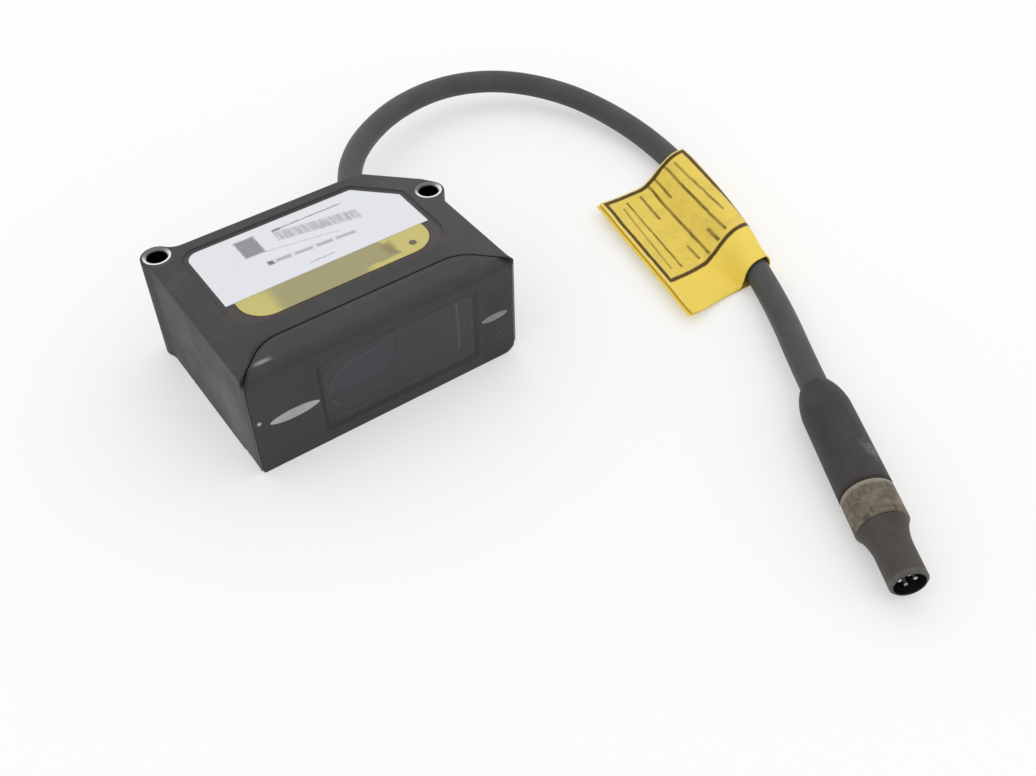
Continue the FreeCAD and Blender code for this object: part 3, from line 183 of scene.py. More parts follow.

# Receiving lens: middle of its round left side, across and up, its radius, heights of the dark belt and of
# the painted highlight on the lower rim, and the painted highlight streak across.
LENS_MIDDLE = (-6.3, 8.5)
LENS_RADIUS = 6.9
LENS_BELT = (6.0, 9.0)
LENS_RIM_HIGHLIGHT = (4.8, 4.0)
LENS_HIGHLIGHT_STREAK = (1.9, 2.5)

# Middle of the laser opening, round which the block is painted nearly black as painted shade.
LASER_OPENING = (18.3, 0.0, 5.4)

# Print on the white label: slope of its rows, softness, strength, then middle and half sizes of each field.
STEEP_ROWS = -0.174
GENTLE_ROWS = -0.06
LABEL_PRINT = (
    (0.0, 0.22, 0.8, ((2.5, 13.6, 8.0, 0.16), (-4.7, 13.5, 0.9, 0.3))),
    (0.0, 0.3, 0.72, ((-11.7, 11.4, 2.2, 3.0),)),
    (GENTLE_ROWS, 0.4, 0.5, ((-7.6, 3.8, 1.7, 0.5), (-3.2, 3.8, 2.0, 0.42), (1.4, 3.8, 1.8, 0.5),
                             (6.2, 3.8, 2.2, 0.42))),
    (GENTLE_ROWS, 0.3, 0.9, ((-10.4, 3.75, 0.65, 0.65),)),
    (0.0, 0.2, 0.55, ((-1.3, -0.3, 2.8, 0.12),)),
    (STEEP_ROWS, 0.2, 0.5, ((-2.2, 6.6, 8.0, 0.08),)),
)

# Hatched patch of the white label, along its steep rows: middle and half sizes.
HATCH_MIDDLE = (3.1, 10.45)
HATCH_HALF = (8.9, 1.6)

# Dull band of the yellow strip: soft left end, right end and its lean, bright notch at its lower right.
BAND_LEFT = (-16.6, -13.4)
BAND_RIGHT = 9.4
BAND_LEAN = 0.35
NOTCH_ACROSS = (3.0, 6.0)
NOTCH_ALONG = (-8.2, -8.8)

# Brown patch of the yellow strip: middle and half sizes.
STRIP_PATCH = (11.0, -5.8, 1.1, 2.0)

# Mounting sleeves and their axes.
BUSHES = (("left_mount_bush", (-28.0, 20.05, 0.0)), ("right_mount_bush", (28.0, 6.35, 0.0)))

# Rear of the plug and the direction in which it points.
PLUG_REAR = (66.75, -73.57, 5.15)
PLUG_WAY = (-0.44229, -0.89687, 0.0)

# Along the plug: rusty end of the grip, bright rear of the ring, lip of the nose with its painted highlight,
# start of the painted shade in its bore.
GRIP_END = (26.0, 27.4)
RING_REAR = (29.1, 28.2)
NOSE_LIP = (46.5, 47.2)
BORE_START = (38.0, 38.5)

# Distance from the plug's axis within which the nose is painted dark as painted shade in its bore.
BORE_RADIUS = (3.1, 2.95)

# Middle of the scuff on the grip.
GRIP_SCUFF = (59.8, -93.1, 9.3)

# Radius, in metres, that the look of an edge is softened by on metal and on label film.
METAL_EDGE = 0.0002
FILM_EDGE = 0.0001


def tone(red, green, blue):
    """Colour from the usual 0 to 255 steps, as linear values."""
    values = []
    for step in (red, green, blue):
        share = step / 255.0
        values.append(share / 12.92 if share <= 0.04045 else ((share + 0.055) / 1.055) ** 2.4)
    return tuple(values)


def opaque(colour):
    """Colour with full cover."""
    return (colour[0], colour[1], colour[2], 1.0)


def scaled(colour, amount):
    """Colour made darker or lighter."""
    return tuple(min(1.0, part * amount) for part in colour)


class Recipe:
    """Lays out the nodes of one finish or shared effect."""

    def __init__(self, tree):
        self.tree = tree

    def add(self, kind, **settings):
        """New node with its settings."""
        node = self.tree.nodes.new(kind)
        for name, value in settings.items():
            setattr(node, name, value)
        return node

    def feed(self, socket, value):
        """Link another socket or set a plain value."""
        if isinstance(value, bpy.types.NodeSocket):
            self.tree.links.new(value, socket)
        else:
            socket.default_value = opaque(value) if socket.type == "RGBA" else value

    def fill(self, sockets, **values):
        """Feed sockets by name, with _ for a blank."""
        for name, value in values.items():
            self.feed(sockets[name.replace("_", " ")], value)

    def number(self, operation, first, second=0.0, clamp=False):
        """Result of a sum with one or two values."""
        node = self.add("ShaderNodeMath", operation=operation, use_clamp=clamp)
        self.feed(node.inputs[0], first)
        self.feed(node.inputs[1], second)
        return node.outputs[0]

    def plus(self, first, second, clamp=False):
        """Sum of two values."""
        return self.number("ADD", first, second, clamp)

    def less(self, first, second, clamp=False):
        """First value without the second."""
        return self.number("SUBTRACT", first, second, clamp)

    def times(self, first, *others):
        """Product of values."""
        for other in others:
            first = self.number("MULTIPLY", first, other)
        return first

    def most(self, first, second):
        """Larger of two values."""
        return self.number("MAXIMUM", first, second)

    def size(self, value):
        """Value without its sign."""
        return self.number("ABSOLUTE", value)

    def ramp(self, value, low, high, start=0.0, end=1.0):
        """Value taken from one range to another, held at both ends."""
        node = self.add("ShaderNodeMapRange", interpolation_type="SMOOTHSTEP")
        self.fill(node.inputs, Value=value, From_Min=low, From_Max=high, To_Min=start, To_Max=end)
        return node.outputs["Result"]

    def band(self, value, low, high, soft):
        """One between two values, zero outside, with soft ends."""
        return self.times(self.ramp(value, low - soft, low + soft),
                          self.ramp(value, high - soft, high + soft, 1.0, 0.0))

    def blend(self, share, first, second):
        """Mix of two colours."""
        node = self.add("ShaderNodeMix", data_type="RGBA")
        self.feed(node.inputs[0], share)
        self.feed(node.inputs[6], first)
        self.feed(node.inputs[7], second)
        return node.outputs[2]

    def vector(self, operation, first, second=None, scale=None):
        """Result of a sum with vectors."""
        node = self.add("ShaderNodeVectorMath", operation=operation)
        self.feed(node.inputs[0], first)
        if second is not None:
            self.feed(node.inputs[1], second)
        if scale is not None:
            self.feed(node.inputs["Scale"], scale)
        return node.outputs["Value" if operation in ("DOT_PRODUCT", "LENGTH") else "Vector"]

    def parts(self, vector):
        """The three parts of a vector."""
        node = self.add("ShaderNodeSeparateXYZ")
        self.feed(node.inputs[0], vector)
        return tuple(node.outputs)

    def joined(self, x, y=0.0, z=0.0):
        """Vector from its parts."""
        node = self.add("ShaderNodeCombineXYZ")
        self.fill(node.inputs, X=x, Y=y, Z=z)
        return node.outputs[0]

    def noise(self, place, scale, detail=3.0, roughness=0.55, distortion=0.0):
        """Cloudy value."""
        node = self.add("ShaderNodeTexNoise")
        self.fill(node.inputs, Vector=place, Scale=scale, Detail=detail, Roughness=roughness,
                  Distortion=distortion)
        return node.outputs[0]

    def cells(self, place, scale):
        """Distance to the nearest of scattered points."""
        node = self.add("ShaderNodeTexVoronoi")
        self.fill(node.inputs, Vector=place, Scale=scale)
        return node.outputs["Distance"]

    def slanted(self, place, slope):
        """Place in plan with its rows tilted: slope is the rise of a row from left to right."""
        x, y = self.parts(place)[:2]
        return self.joined(x, self.less(y, self.times(x, slope)))

    def background_rays(self):
        """One for the rays in which the backdrop is seen: straight, in metal and through glass."""
        path = self.add("ShaderNodeLightPath").outputs
        return self.most(self.most(path["Is Camera Ray"], path["Is Glossy Ray"]), path["Is Transmission Ray"])

    def effect(self, name, **values):
        """Shared effect with its own values."""
        node = self.add("ShaderNodeGroup", node_tree=shared_effect(name))
        self.fill(node.inputs, **values)
        return node.outputs


def grain_nodes(recipe, given, result):
    """Fine grain of a moulded surface, with broad cloudiness."""
    place = given["Place"]
    fine = recipe.noise(place, given["Coarseness"], 4.0, 0.6)
    pits = recipe.cells(place, given["Coarseness"])
    broad = recipe.noise(place, 0.11, 5.0, 0.6)
    speckle = recipe.noise(place, 2.6, 2.0)
    mixed = recipe.plus(recipe.times(broad, 0.75), recipe.times(speckle, 0.25))
    recipe.fill(result, Height=recipe.plus(recipe.times(fine, 0.7), recipe.times(pits, 0.3)),
                Cloud=recipe.ramp(mixed, 0.32, 0.68))


def dust_nodes(recipe, given, result):
    """Dust specks and a thin film that lie on upward faces."""
    normal = recipe.add("ShaderNodeNewGeometry").outputs["Normal"]
    upward = recipe.ramp(recipe.parts(normal)[2], 0.2, 0.95, 0.25, 1.0)
    specks = recipe.ramp(recipe.noise(given["Place"], 2.9, 2.0, 0.5), 0.66, 0.74)
    film = recipe.ramp(recipe.noise(given["Place"], 0.16, 6.0, 0.7, 0.6), 0.42, 0.75)
    both = recipe.plus(recipe.times(specks, 0.5), recipe.times(film, 0.5))
    recipe.fill(result, Cover=recipe.times(both, upward, given["Amount"]))


def wear_nodes(recipe, given, result):
    """Edges rubbed lighter, broken up by fine noise."""
    normal = recipe.add("ShaderNodeNewGeometry").outputs["Normal"]
    turn = recipe.less(1.0, recipe.vector("DOT_PRODUCT", given["Rounded"], normal))
    edge = recipe.ramp(turn, 0.015, 0.16)
    broken = recipe.ramp(recipe.noise(given["Place"], 0.9, 5.0, 0.7), 0.35, 0.65, 0.35, 1.0)
    recipe.fill(result, Cover=recipe.times(edge, broken, given["Amount"]))


def field_nodes(recipe, given, result):
    """Soft-edged printed rectangle, in the first two parts of a place."""
    away = recipe.vector("ABSOLUTE", recipe.vector("SUBTRACT", given["Place"], given["Centre"]))
    across, along = recipe.parts(recipe.vector("SUBTRACT", away, given["Half"]))[:2]
    inside = recipe.number("DIVIDE", recipe.most(across, along), given["Softness"])
    recipe.fill(result, Cover=recipe.ramp(inside, -1.0, 1.0, 1.0, 0.0))


# Shared effects: what lays out their nodes, inputs (vectors where no plain value is given), outputs.
EFFECTS = {
    "Moulded grain": (grain_nodes, {"Place": None, "Coarseness": 6.0}, ("Height", "Cloud")),
    "Settled dust": (dust_nodes, {"Place": None, "Amount": 0.3}, ("Cover",)),
    "Edge wear": (wear_nodes, {"Place": None, "Rounded": None, "Amount": 0.5}, ("Cover",)),
    "Print field": (field_nodes, {"Place": None, "Centre": None, "Half": None, "Softness": 0.1}, ("Cover",)),
}


def shared_effect(name):
    """Node group of a shared effect, built on its first use."""
    tree = bpy.data.node_groups.get(name)
    if tree:
        return tree
    tree = bpy.data.node_groups.new(name, "ShaderNodeTree")
    lay_out, inputs, outputs = EFFECTS[name]
    for label, value in inputs.items():
        kind = "NodeSocketVector" if value is None else "NodeSocketFloat"
        socket = tree.interface.new_socket(label, in_out="INPUT", socket_type=kind)
        if value is not None:
            socket.default_value = value
    for label in outputs:
        tree.interface.new_socket(label, in_out="OUTPUT", socket_type="NodeSocketFloat")
    recipe = Recipe(tree)
    lay_out(recipe, recipe.add("NodeGroupInput").outputs, recipe.add("NodeGroupOutput").inputs)
    return tree


class Finish(Recipe):
    """Recipe of one material: its shader, the point on the object in millimetres, the colour so far."""

    def __init__(self, name, roughness, metallic=0.0, **sockets):
        self.material = bpy.data.materials.new(name)
        self.material.use_nodes = True
        super().__init__(self.material.node_tree)
        self.shader = self.tree.nodes["Principled BSDF"].inputs
        self.fill(self.shader, Roughness=roughness, Metallic=metallic, **sockets)
        self.spot = self.add("ShaderNodeTexCoord").outputs
        self.place = self.vector("SCALE", self.spot["Object"], scale=1.0 / MILLIMETRE)
        self.x, self.y, self.z = self.parts(self.place)
        self.shade = None

    def base(self, shade):
        """Take a colour as the finish's own."""
        self.shade = shade
        self.fill(self.shader, Base_Color=shade)

    def mottle(self, cloud, colour, darkest, lightest=1.0):
        """Start from a colour that clouds make darker and lighter."""
        self.base(self.blend(cloud, scaled(colour, darkest), scaled(colour, lightest)))

    def paint(self, colour, *covers):
        """Lay a colour on, as far as all covers reach."""
        self.base(self.blend(self.times(*covers), self.shade, colour))

    def surface(self, **sockets):
        """Feed the shader's other sockets and hand over the material."""
        self.fill(self.shader, **sockets)
        return self.material

    def stretched(self, amounts):
        """Place drawn out along the axes."""
        return self.vector("MULTIPLY", self.place, amounts)

    def ragged(self, place, scale, reach):
        """Place moved about a little, so that printed edges are uneven."""
        node = self.add("ShaderNodeTexNoise")
        self.fill(node.inputs, Vector=self.place, Scale=scale)
        away = self.vector("SUBTRACT", node.outputs["Color"], (0.5, 0.5, 0.5))
        return self.vector("ADD", place, self.vector("SCALE", away, scale=reach))

    def field(self, place, middle, half, softness):
        """Cover of a soft-edged rectangle."""
        return self.effect("Print field", Place=place, Centre=(*middle, 0.0), Half=(*half, 1.0),
                           Softness=softness)["Cover"]

    def stamp(self, ink, place, softness, strength, fields):
        """Print plain rectangles, each given by its middle and half sizes."""
        for x, y, half_x, half_y in fields:
            self.paint(ink, self.field(place, (x, y), (half_x, half_y), softness), strength)

    def leaf(self, x, z, half, swell, soft):
        """Leaf-shaped field on the front: its middle across and up, half length, half height."""
        share = self.number("DIVIDE", self.less(self.x, x), half)
        full = self.less(1.0, self.times(share, share), True)
        reach = self.times(self.number("POWER", full, 0.6), swell)
        inside = self.less(reach, self.size(self.less(self.z, z)))
        return self.times(self.ramp(inside, -soft, soft), self.ramp(full, 0.0, 0.02))

    def gap_to(self, point, axes):
        """Distance from a point, counted only along the given axes."""
        away = self.vector("SUBTRACT", self.place, point)
        return self.vector("LENGTH", self.vector("MULTIPLY", away, axes))

    def along_plug(self):
        """Distance from the rear of the plug."""
        return self.vector("DOT_PRODUCT", self.vector("SUBTRACT", self.place, PLUG_REAR), PLUG_WAY)

    def from_plug_axis(self):
        """Distance from the axis of the plug."""
        away = self.vector("SUBTRACT", self.place, PLUG_REAR)
        return self.vector("LENGTH", self.vector("CROSS_PRODUCT", away, PLUG_WAY))

    def rubbed(self, rounded, amount):
        """Cover of the rubbed edges."""
        return self.effect("Edge wear", Place=self.place, Rounded=rounded, Amount=amount)["Cover"]

    def eased_edges(self, radius):
        """Normal that rounds the edges."""
        node = self.add("ShaderNodeBevel", samples=6)
        self.fill(node.inputs, Radius=radius)
        return node.outputs["Normal"]

    def relief(self, height, strength, distance, rounded=None):
        """Normal with bumps, on rounded edges where they are given."""
        node = self.add("ShaderNodeBump")
        self.fill(node.inputs, Strength=strength, Distance=distance, Height=height)
        if rounded is not None:
            self.fill(node.inputs, Normal=rounded)
        return node.outputs["Normal"]


def moulded(name, colour, roughness, coarseness, dust, wear, wear_and_sheen=(0.2, 0.2, 0.2), edge=0.00035,
            depth=0.00003, cloud=0.1):
    """Moulded plastic or rubber with grain, cloudiness, dust and rubbed edges."""
    finish = Finish(name, roughness, Specular_IOR_Level=0.3)
    grain = finish.effect("Moulded grain", Place=finish.place, Coarseness=coarseness)
    finish.mottle(grain["Cloud"], colour, 1.0 - cloud, 1.0 + cloud)
    rounded = finish.eased_edges(edge(finish) if callable(edge) else edge)
    finish.paint(wear_and_sheen, finish.rubbed(rounded, wear))
    dusty = finish.effect("Settled dust", Place=finish.place, Amount=dust)["Cover"]
    finish.paint(tone(150, 146, 140), dusty)
    dull = finish.plus(finish.ramp(grain["Cloud"], 0.0, 1.0, roughness - 0.05, roughness + 0.06),
                       finish.times(dusty, 0.4), True)
    finish.surface(Roughness=dull, Normal=finish.relief(grain["Height"], 0.35, depth, rounded))
    return finish


def metal(name, colour, roughness, tarnish_and_shade, spots, brushing=(1.0, 1.0, 14.0), shaded=None):
    """Bare metal with fine tool marks and tarnish in clouds, and the same dark colour as painted shade where
    shaded says so.
    """
    finish = Finish(name, roughness, 1.0)
    marks = finish.noise(finish.stretched(brushing), 1.6, 4.0, 0.6)
    cover = finish.times(finish.ramp(finish.noise(finish.place, 0.55, 6.0, 0.65, 0.4), 0.42, 0.68), spots)
    if shaded:
        cover = finish.most(cover, shaded(finish))
    finish.mottle(marks, colour, 0.86, 1.1)
    finish.paint(tarnish_and_shade, cover)
    dull = finish.plus(finish.ramp(marks, 0.3, 0.7, roughness - 0.06, roughness + 0.08),
                       finish.times(cover, 0.3), True)
    return finish.surface(Roughness=dull,
                          Normal=finish.relief(marks, 0.25, 0.00002, finish.eased_edges(METAL_EDGE)))


def clouded(name, roughness, colours, cloud, dullness, **sockets):
    """Plain finish between two colours in clouds, which its roughness follows."""
    finish = Finish(name, roughness, **sockets)
    soft = finish.noise(finish.place, *cloud)
    finish.base(finish.blend(soft, *colours))
    return finish.surface(Roughness=finish.ramp(soft, *dullness))


def dress(material, *names):
    """Give CAD nodes a finish."""
    for name in names:
        slots = NODES[name].material_slots
        if not slots:
            NODES[name].data.materials.append(material)
        for slot in slots:
            slot.material = material


def pale_floor(wanted):
    """Floor that shows a share of its own plain colour where the backdrop is seen."""
    finish = Finish("Pale floor", 0.6, Specular_IOR_Level=0.1)
    finish.mottle(finish.noise(finish.place, 0.004, 2.0), wanted.floor_colour, 0.995)
    glow = finish.add("ShaderNodeEmission")
    finish.fill(glow.inputs, Color=wanted.floor_colour)
    mixed = finish.add("ShaderNodeMixShader")
    finish.feed(mixed.inputs[0], finish.times(finish.background_rays(), FLOOR_PALENESS))
    finish.feed(mixed.inputs[1], finish.tree.nodes["Principled BSDF"].outputs[0])
    finish.feed(mixed.inputs[2], glow.outputs[0])
    finish.feed(finish.tree.nodes["Material Output"].inputs["Surface"], mixed.outputs[0])
    return finish.material


def seam_distance(finish):
    """Distance from the joint of cover and housing in plan: straight rear, round bends, slanted ends."""
    along = finish.less(finish.size(finish.less(finish.x, SEAM_MIDDLE)), SEAM_STRAIGHT)
    behind = finish.less(finish.y, SEAM_BEND_PLACE)
    bend = finish.vector("LENGTH", finish.joined(along, behind))
    straight = finish.most(behind, finish.times(finish.plus(along, behind), math.sqrt(0.5)))
    in_bend = finish.times(finish.number("GREATER_THAN", along, 0.0),
                           finish.number("GREATER_THAN", behind, along))
    reach = finish.plus(straight, finish.times(in_bend, finish.less(bend, straight)))
    return finish.size(finish.less(reach, SEAM_BEND))


def seam_shade_and_light(finish):
    """Painted shade in the joint on the top, wider in the left bend, and painted light as a pale line down
    the sides that offsets the joint's shade.
    """
    away = seam_distance(finish)
    reach = finish.times(finish.ramp(finish.x, -17.0, -23.0, 0.4, 1.2),
                         finish.ramp(finish.x, -25.5, -28.0, 1.0, 0.3))
    near = finish.less(1.0, finish.number("DIVIDE", away, reach), True)
    # Painted shade in the joint on the top.
    finish.paint(tone(24, 24, 24), near, finish.ramp(finish.z, 23.6, 24.3), 0.85)
    # Painted light: a pale line down the joint on the sides offsets its shade.
    joint = finish.ramp(away, 0.12, 0.3, 0.8, 0.0)
    finish.paint(tone(150, 149, 149), joint, finish.ramp(finish.z, 23.4, 22.6))


def housing_ease(finish):
    """Radius of the housing's edges, larger on the left."""
    return finish.ramp(finish.x, -24.5, -27.5, 0.0004, 0.0018)


def housing_plastic(wanted):
    """Shell with a browned label field, a painted reflection on its top, painted shade along creases, and on
    the left wall a painted reflection low in front and painted shade towards the rear.
    """
    finish = moulded("Housing plastic", wanted.housing_colour, roughness=0.52, coarseness=4.5,
                     dust=wanted.dust, wear=0.16, wear_and_sheen=tone(104, 103, 103), edge=housing_ease)
    field = finish.field(finish.place, FIELD_MIDDLE, FIELD_HALF, 0.4)
    finish.paint(tone(86, 76, 68), field, finish.band(finish.z, *FIELD_FLOOR, 0.04), 0.35)
    top = finish.ramp(finish.z, 24.0, 24.4)
    # Painted reflection: the top is painted lighter towards the rear and the right.
    wear_and_sheen = finish.plus(finish.ramp(finish.y, -8.0, 16.0, 0.0, 0.03),
                       finish.ramp(finish.x, 14.0, 27.0, 0.0, 0.14))
    finish.paint(tone(104, 102, 102), top, wear_and_sheen)
    # Painted shade darkens the creases.
    for slope, x, y in CREASES:
        crease_shade = finish.field(finish.slanted(finish.place, slope), (x, y - slope * x), CREASE_HALF, 0.22)
        finish.paint(tone(30, 29, 29), crease_shade, top, 0.5)
    left = finish.ramp(finish.x, *LEFT_WALL)
    # Painted reflection: a lighter patch low on the left wall, towards the front.
    away = finish.gap_to(WALL_SHEEN, (0.0, 0.1, 0.09))
    finish.paint(tone(136, 134, 133), left, finish.ramp(away, 1.25, 0.1, 0.0, 0.26))
    # Painted shade: the left wall is painted darker, more towards the rear.
    rear_shade = finish.ramp(finish.y, -8.0, 6.0, 0.35, 0.75)
    finish.paint(tone(42, 41, 42), left, rear_shade, finish.ramp(finish.z, 24.0, 23.0))
    seam_shade_and_light(finish)
    return finish.material


def cover_ease(finish):
    """Radius of the front cover's edges, larger at the top."""
    return finish.ramp(finish.z, 20.5, 22.5, 0.00035, 0.0022)


def cover_plastic(wanted):
    """Cap with pale dimples, a gleam on its left bend, painted highlight arcs at its lower right corner, pale
    walls in its window recess as painted light, and a pale dot on its left edge.
    """
    finish = moulded("Cover plastic", wanted.cover_colour, roughness=0.45, coarseness=6.0,
                     dust=wanted.dust * 0.6, wear=0.1, wear_and_sheen=tone(100, 100, 101), edge=cover_ease)
    streaks = finish.noise(finish.stretched((0.5, 1.0, 2.2)), 1.4, 5.0, 0.7)
    front = finish.number("LESS_THAN", finish.y, -22.0)
    strength = finish.times(finish.ramp(streaks, 0.25, 0.7, 0.72, 1.0), front)
    # The dimples are painted pale.
    for x, z, half, swell in DIMPLES:
        finish.paint(wanted.dimple_colour, finish.leaf(x, z, half, swell, 0.12), strength)
    beside = finish.size(finish.less(finish.y, BEND_GLEAM_PLACE))
    finish.paint(tone(150, 150, 149), finish.band(finish.x, *BEND_GLEAM, 1.0),
                 finish.ramp(finish.z, 23.8, 24.3), finish.ramp(beside, 0.2, 0.7, 0.75, 0.0))
    finish.paint(tone(36, 36, 37), finish.ramp(finish.x, 20.4, 21.8, 0.0, 0.4),
                 finish.ramp(finish.y, -22.4, -23.0), finish.ramp(finish.z, 20.0, 17.0))
    # Painted highlight: arcs round the lower right corner.
    away = finish.gap_to(HIGHLIGHT_ARC_MIDDLE, (1.0, 0.0, 1.0))
    corner = finish.times(finish.ramp(finish.x, 22.0, 24.0), finish.ramp(finish.z, 9.5, 7.5),
                          finish.ramp(streaks, 0.4, 0.6, 0.1, 0.5))
    for radius in HIGHLIGHT_ARC_RADII:
        highlight_arc = finish.band(away, radius - HIGHLIGHT_ARC_HALF, radius + HIGHLIGHT_ARC_HALF, 0.12)
        finish.paint(tone(128, 128, 127), highlight_arc, corner)
    # Painted light: the walls of the window recess are painted pale to offset their shade.
    finish.paint(tone(138, 138, 139), finish.band(finish.x, *RECESS_ACROSS, 0.05),
                 finish.band(finish.z, *RECESS_UP, 0.05), finish.ramp(finish.y, *RECESS_DEPTH))
    away = finish.gap_to(EDGE_PALE_DOT, (1.0, 1.0, 1.0))
    finish.paint(tone(190, 190, 188), finish.ramp(away, 0.35, 0.6, 0.85, 0.0))
    seam_shade_and_light(finish)
    return finish.material


def tinted_pane(wanted):
    """Dark pane with a faint haze."""
    finish = Finish("Tinted pane", 0.03, Transmission_Weight=1.0, IOR=1.5)
    haze = finish.ramp(finish.noise(finish.stretched((1.0, 1.0, 0.4)), 0.25, 5.0, 0.6), 0.35, 0.7)
    finish.mottle(haze, wanted.pane_colour, 0.92)
    return finish.surface(Roughness=finish.ramp(haze, 0.0, 1.0, 0.0, 0.02))


def coated_lens(wanted):
    """Lens with a dark belt and painted highlights: on its lower rim, in an arc on its upper left and in a
    streak at its right.
    """
    finish = Finish("Coated lens", 0.06, Transmission_Weight=0.2, IOR=1.52, Coat_Weight=0.6,
                    Coat_Tint=tone(150, 175, 220))
    bloom = finish.noise(finish.place, 0.14, 3.0, 0.5)
    finish.mottle(bloom, wanted.lens_colour, 0.85)
    left = finish.number("MINIMUM", finish.less(finish.x, LENS_MIDDLE[0]), 0.0)
    away = finish.vector("LENGTH", finish.joined(left, 0.0, finish.less(finish.z, LENS_MIDDLE[1])))
    finish.paint(tone(48, 52, 64), finish.band(finish.z, *LENS_BELT, 1.5))
    # Painted highlight on the lower rim.
    corner = finish.times(finish.band(away, LENS_RADIUS - 0.9, LENS_RADIUS, 0.4),
                          finish.ramp(finish.z, 7.5, 6.0))
    finish.paint(tone(226, 230, 238), finish.most(corner, finish.ramp(finish.z, *LENS_RIM_HIGHLIGHT)))
    finish.paint(tone(102, 102, 104), finish.ramp(away, LENS_RADIUS, LENS_RADIUS + 0.3))
    # Painted highlight: an arc on the upper left and a streak at the right.
    highlight_arc = finish.times(finish.band(away, LENS_RADIUS - 0.5, LENS_RADIUS, 0.2),
                       finish.ramp(finish.z, 8.0, 9.5))
    highlight_streak = finish.times(finish.band(finish.x, *LENS_HIGHLIGHT_STREAK, 0.25),
                          finish.band(finish.z, 8.0, 12.0, 2.0), 0.9)
    finish.paint(tone(250, 251, 253), finish.most(highlight_streak, highlight_arc))
    return finish.surface(Roughness=finish.ramp(bloom, 0.3, 0.7, 0.06, 0.14))


def block_plastic(wanted):
    """Chassis with the pale edge of its light barrier and painted shade at the laser opening."""
    finish = moulded("Optical block plastic", wanted.block_colour, roughness=0.7, coarseness=8.0, dust=0.0,
                     wear=0.0, depth=0.000005, cloud=0.06)
    finish.paint(tone(248, 248, 246), finish.ramp(finish.y, -21.5, -21.6), finish.ramp(finish.x, 14.0, 14.5))
    # Painted shade: the block is painted nearly black round the laser opening.
    away = finish.gap_to(LASER_OPENING, (1.0, 0.0, 1.0))
    finish.paint(tone(6, 6, 7), finish.ramp(away, 1.5, 2.3, 1.0, 0.0))
    return finish.material


def white_film(wanted):
    """White label with a hatched patch, plain fields and bars."""
    finish = Finish("White label film", 0.38)
    soft = finish.noise(finish.place, 0.09, 4.0, 0.55)
    finish.mottle(soft, wanted.white, 0.96)
    ragged = finish.ragged(finish.place, 1.6, 0.5)
    steep = finish.slanted(ragged, STEEP_ROWS)
    drawn_out = finish.vector("MULTIPLY", steep, (1.0, 0.07, 0.0))
    strokes = finish.ramp(finish.noise(drawn_out, 1.3, 3.0, 0.7), 0.45, 0.56)
    hatch = finish.field(steep, HATCH_MIDDLE, HATCH_HALF, 0.4)
    finish.paint(tone(134, 136, 146), hatch, finish.ramp(strokes, 0.0, 1.0, 0.3, 0.62))
    for slope, softness, strength, fields in LABEL_PRINT:
        finish.stamp(wanted.ink, finish.slanted(ragged, slope), softness, strength, fields)
    bumps = finish.relief(finish.noise(finish.place, 0.35, 3.0), 0.12, 0.00006, finish.eased_edges(FILM_EDGE))
    return finish.surface(Roughness=finish.ramp(soft, 0.2, 0.8, 0.32, 0.46), Normal=bumps)


def yellow_film(wanted):
    """Yellow strip with a dull band, a brown patch at its right and scuffs."""
    finish = Finish("Yellow strip film", 0.45)
    soft = finish.noise(finish.place, 0.22, 5.0, 0.65)
    finish.mottle(soft, wanted.yellow, 0.88)
    ragged = finish.ragged(finish.place, 0.5, 1.2)
    x, y = finish.parts(ragged)[:2]
    beyond = finish.less(x, finish.less(BAND_RIGHT, finish.times(y, BAND_LEAN)))
    notch = finish.times(finish.ramp(x, *NOTCH_ACROSS), finish.ramp(y, *NOTCH_ALONG))
    finish.paint(wanted.khaki, finish.ramp(x, *BAND_LEFT), finish.ramp(beyond, -0.5, 0.5, 1.0, 0.0),
                 finish.less(1.0, notch), 0.96)
    finish.stamp(tone(132, 120, 76), ragged, 0.8, 0.8, (STRIP_PATCH,))
    scuffs = finish.ramp(finish.noise(finish.stretched((0.6, 1.4, 1.0)), 0.8, 6.0, 0.75, 0.8), 0.6, 0.72)
    finish.paint(tone(140, 128, 90), scuffs, 0.35)
    return finish.surface(Roughness=finish.ramp(soft, 0.2, 0.8, 0.4, 0.55),
                          Normal=finish.relief(soft, 0.15, 0.00008, finish.eased_edges(FILM_EDGE)))


def bush_steel(name, centre, wanted):
    """Bright sleeve with painted shade towards the rear and in its bore."""
    def shaded(finish):
        """Cover of the painted shade: the rear half and the bore."""
        away = finish.vector("MULTIPLY", finish.vector("SUBTRACT", finish.place, centre), (1.0, 1.0, 0.0))
        front = finish.vector("DOT_PRODUCT", finish.vector("NORMALIZE", away), (-0.1, -0.99, 0.0))
        return finish.most(finish.ramp(front, -0.7, 0.3, 0.77, 0.0), finish.band(finish.z, 0.4, 24.0, 0.15))

    side = name.split("_")[0]
    return metal("Bush steel " + side, wanted.steel, 0.34, tone(30, 29, 28), 0.12, (1.0, 1.0, 9.0), shaded)


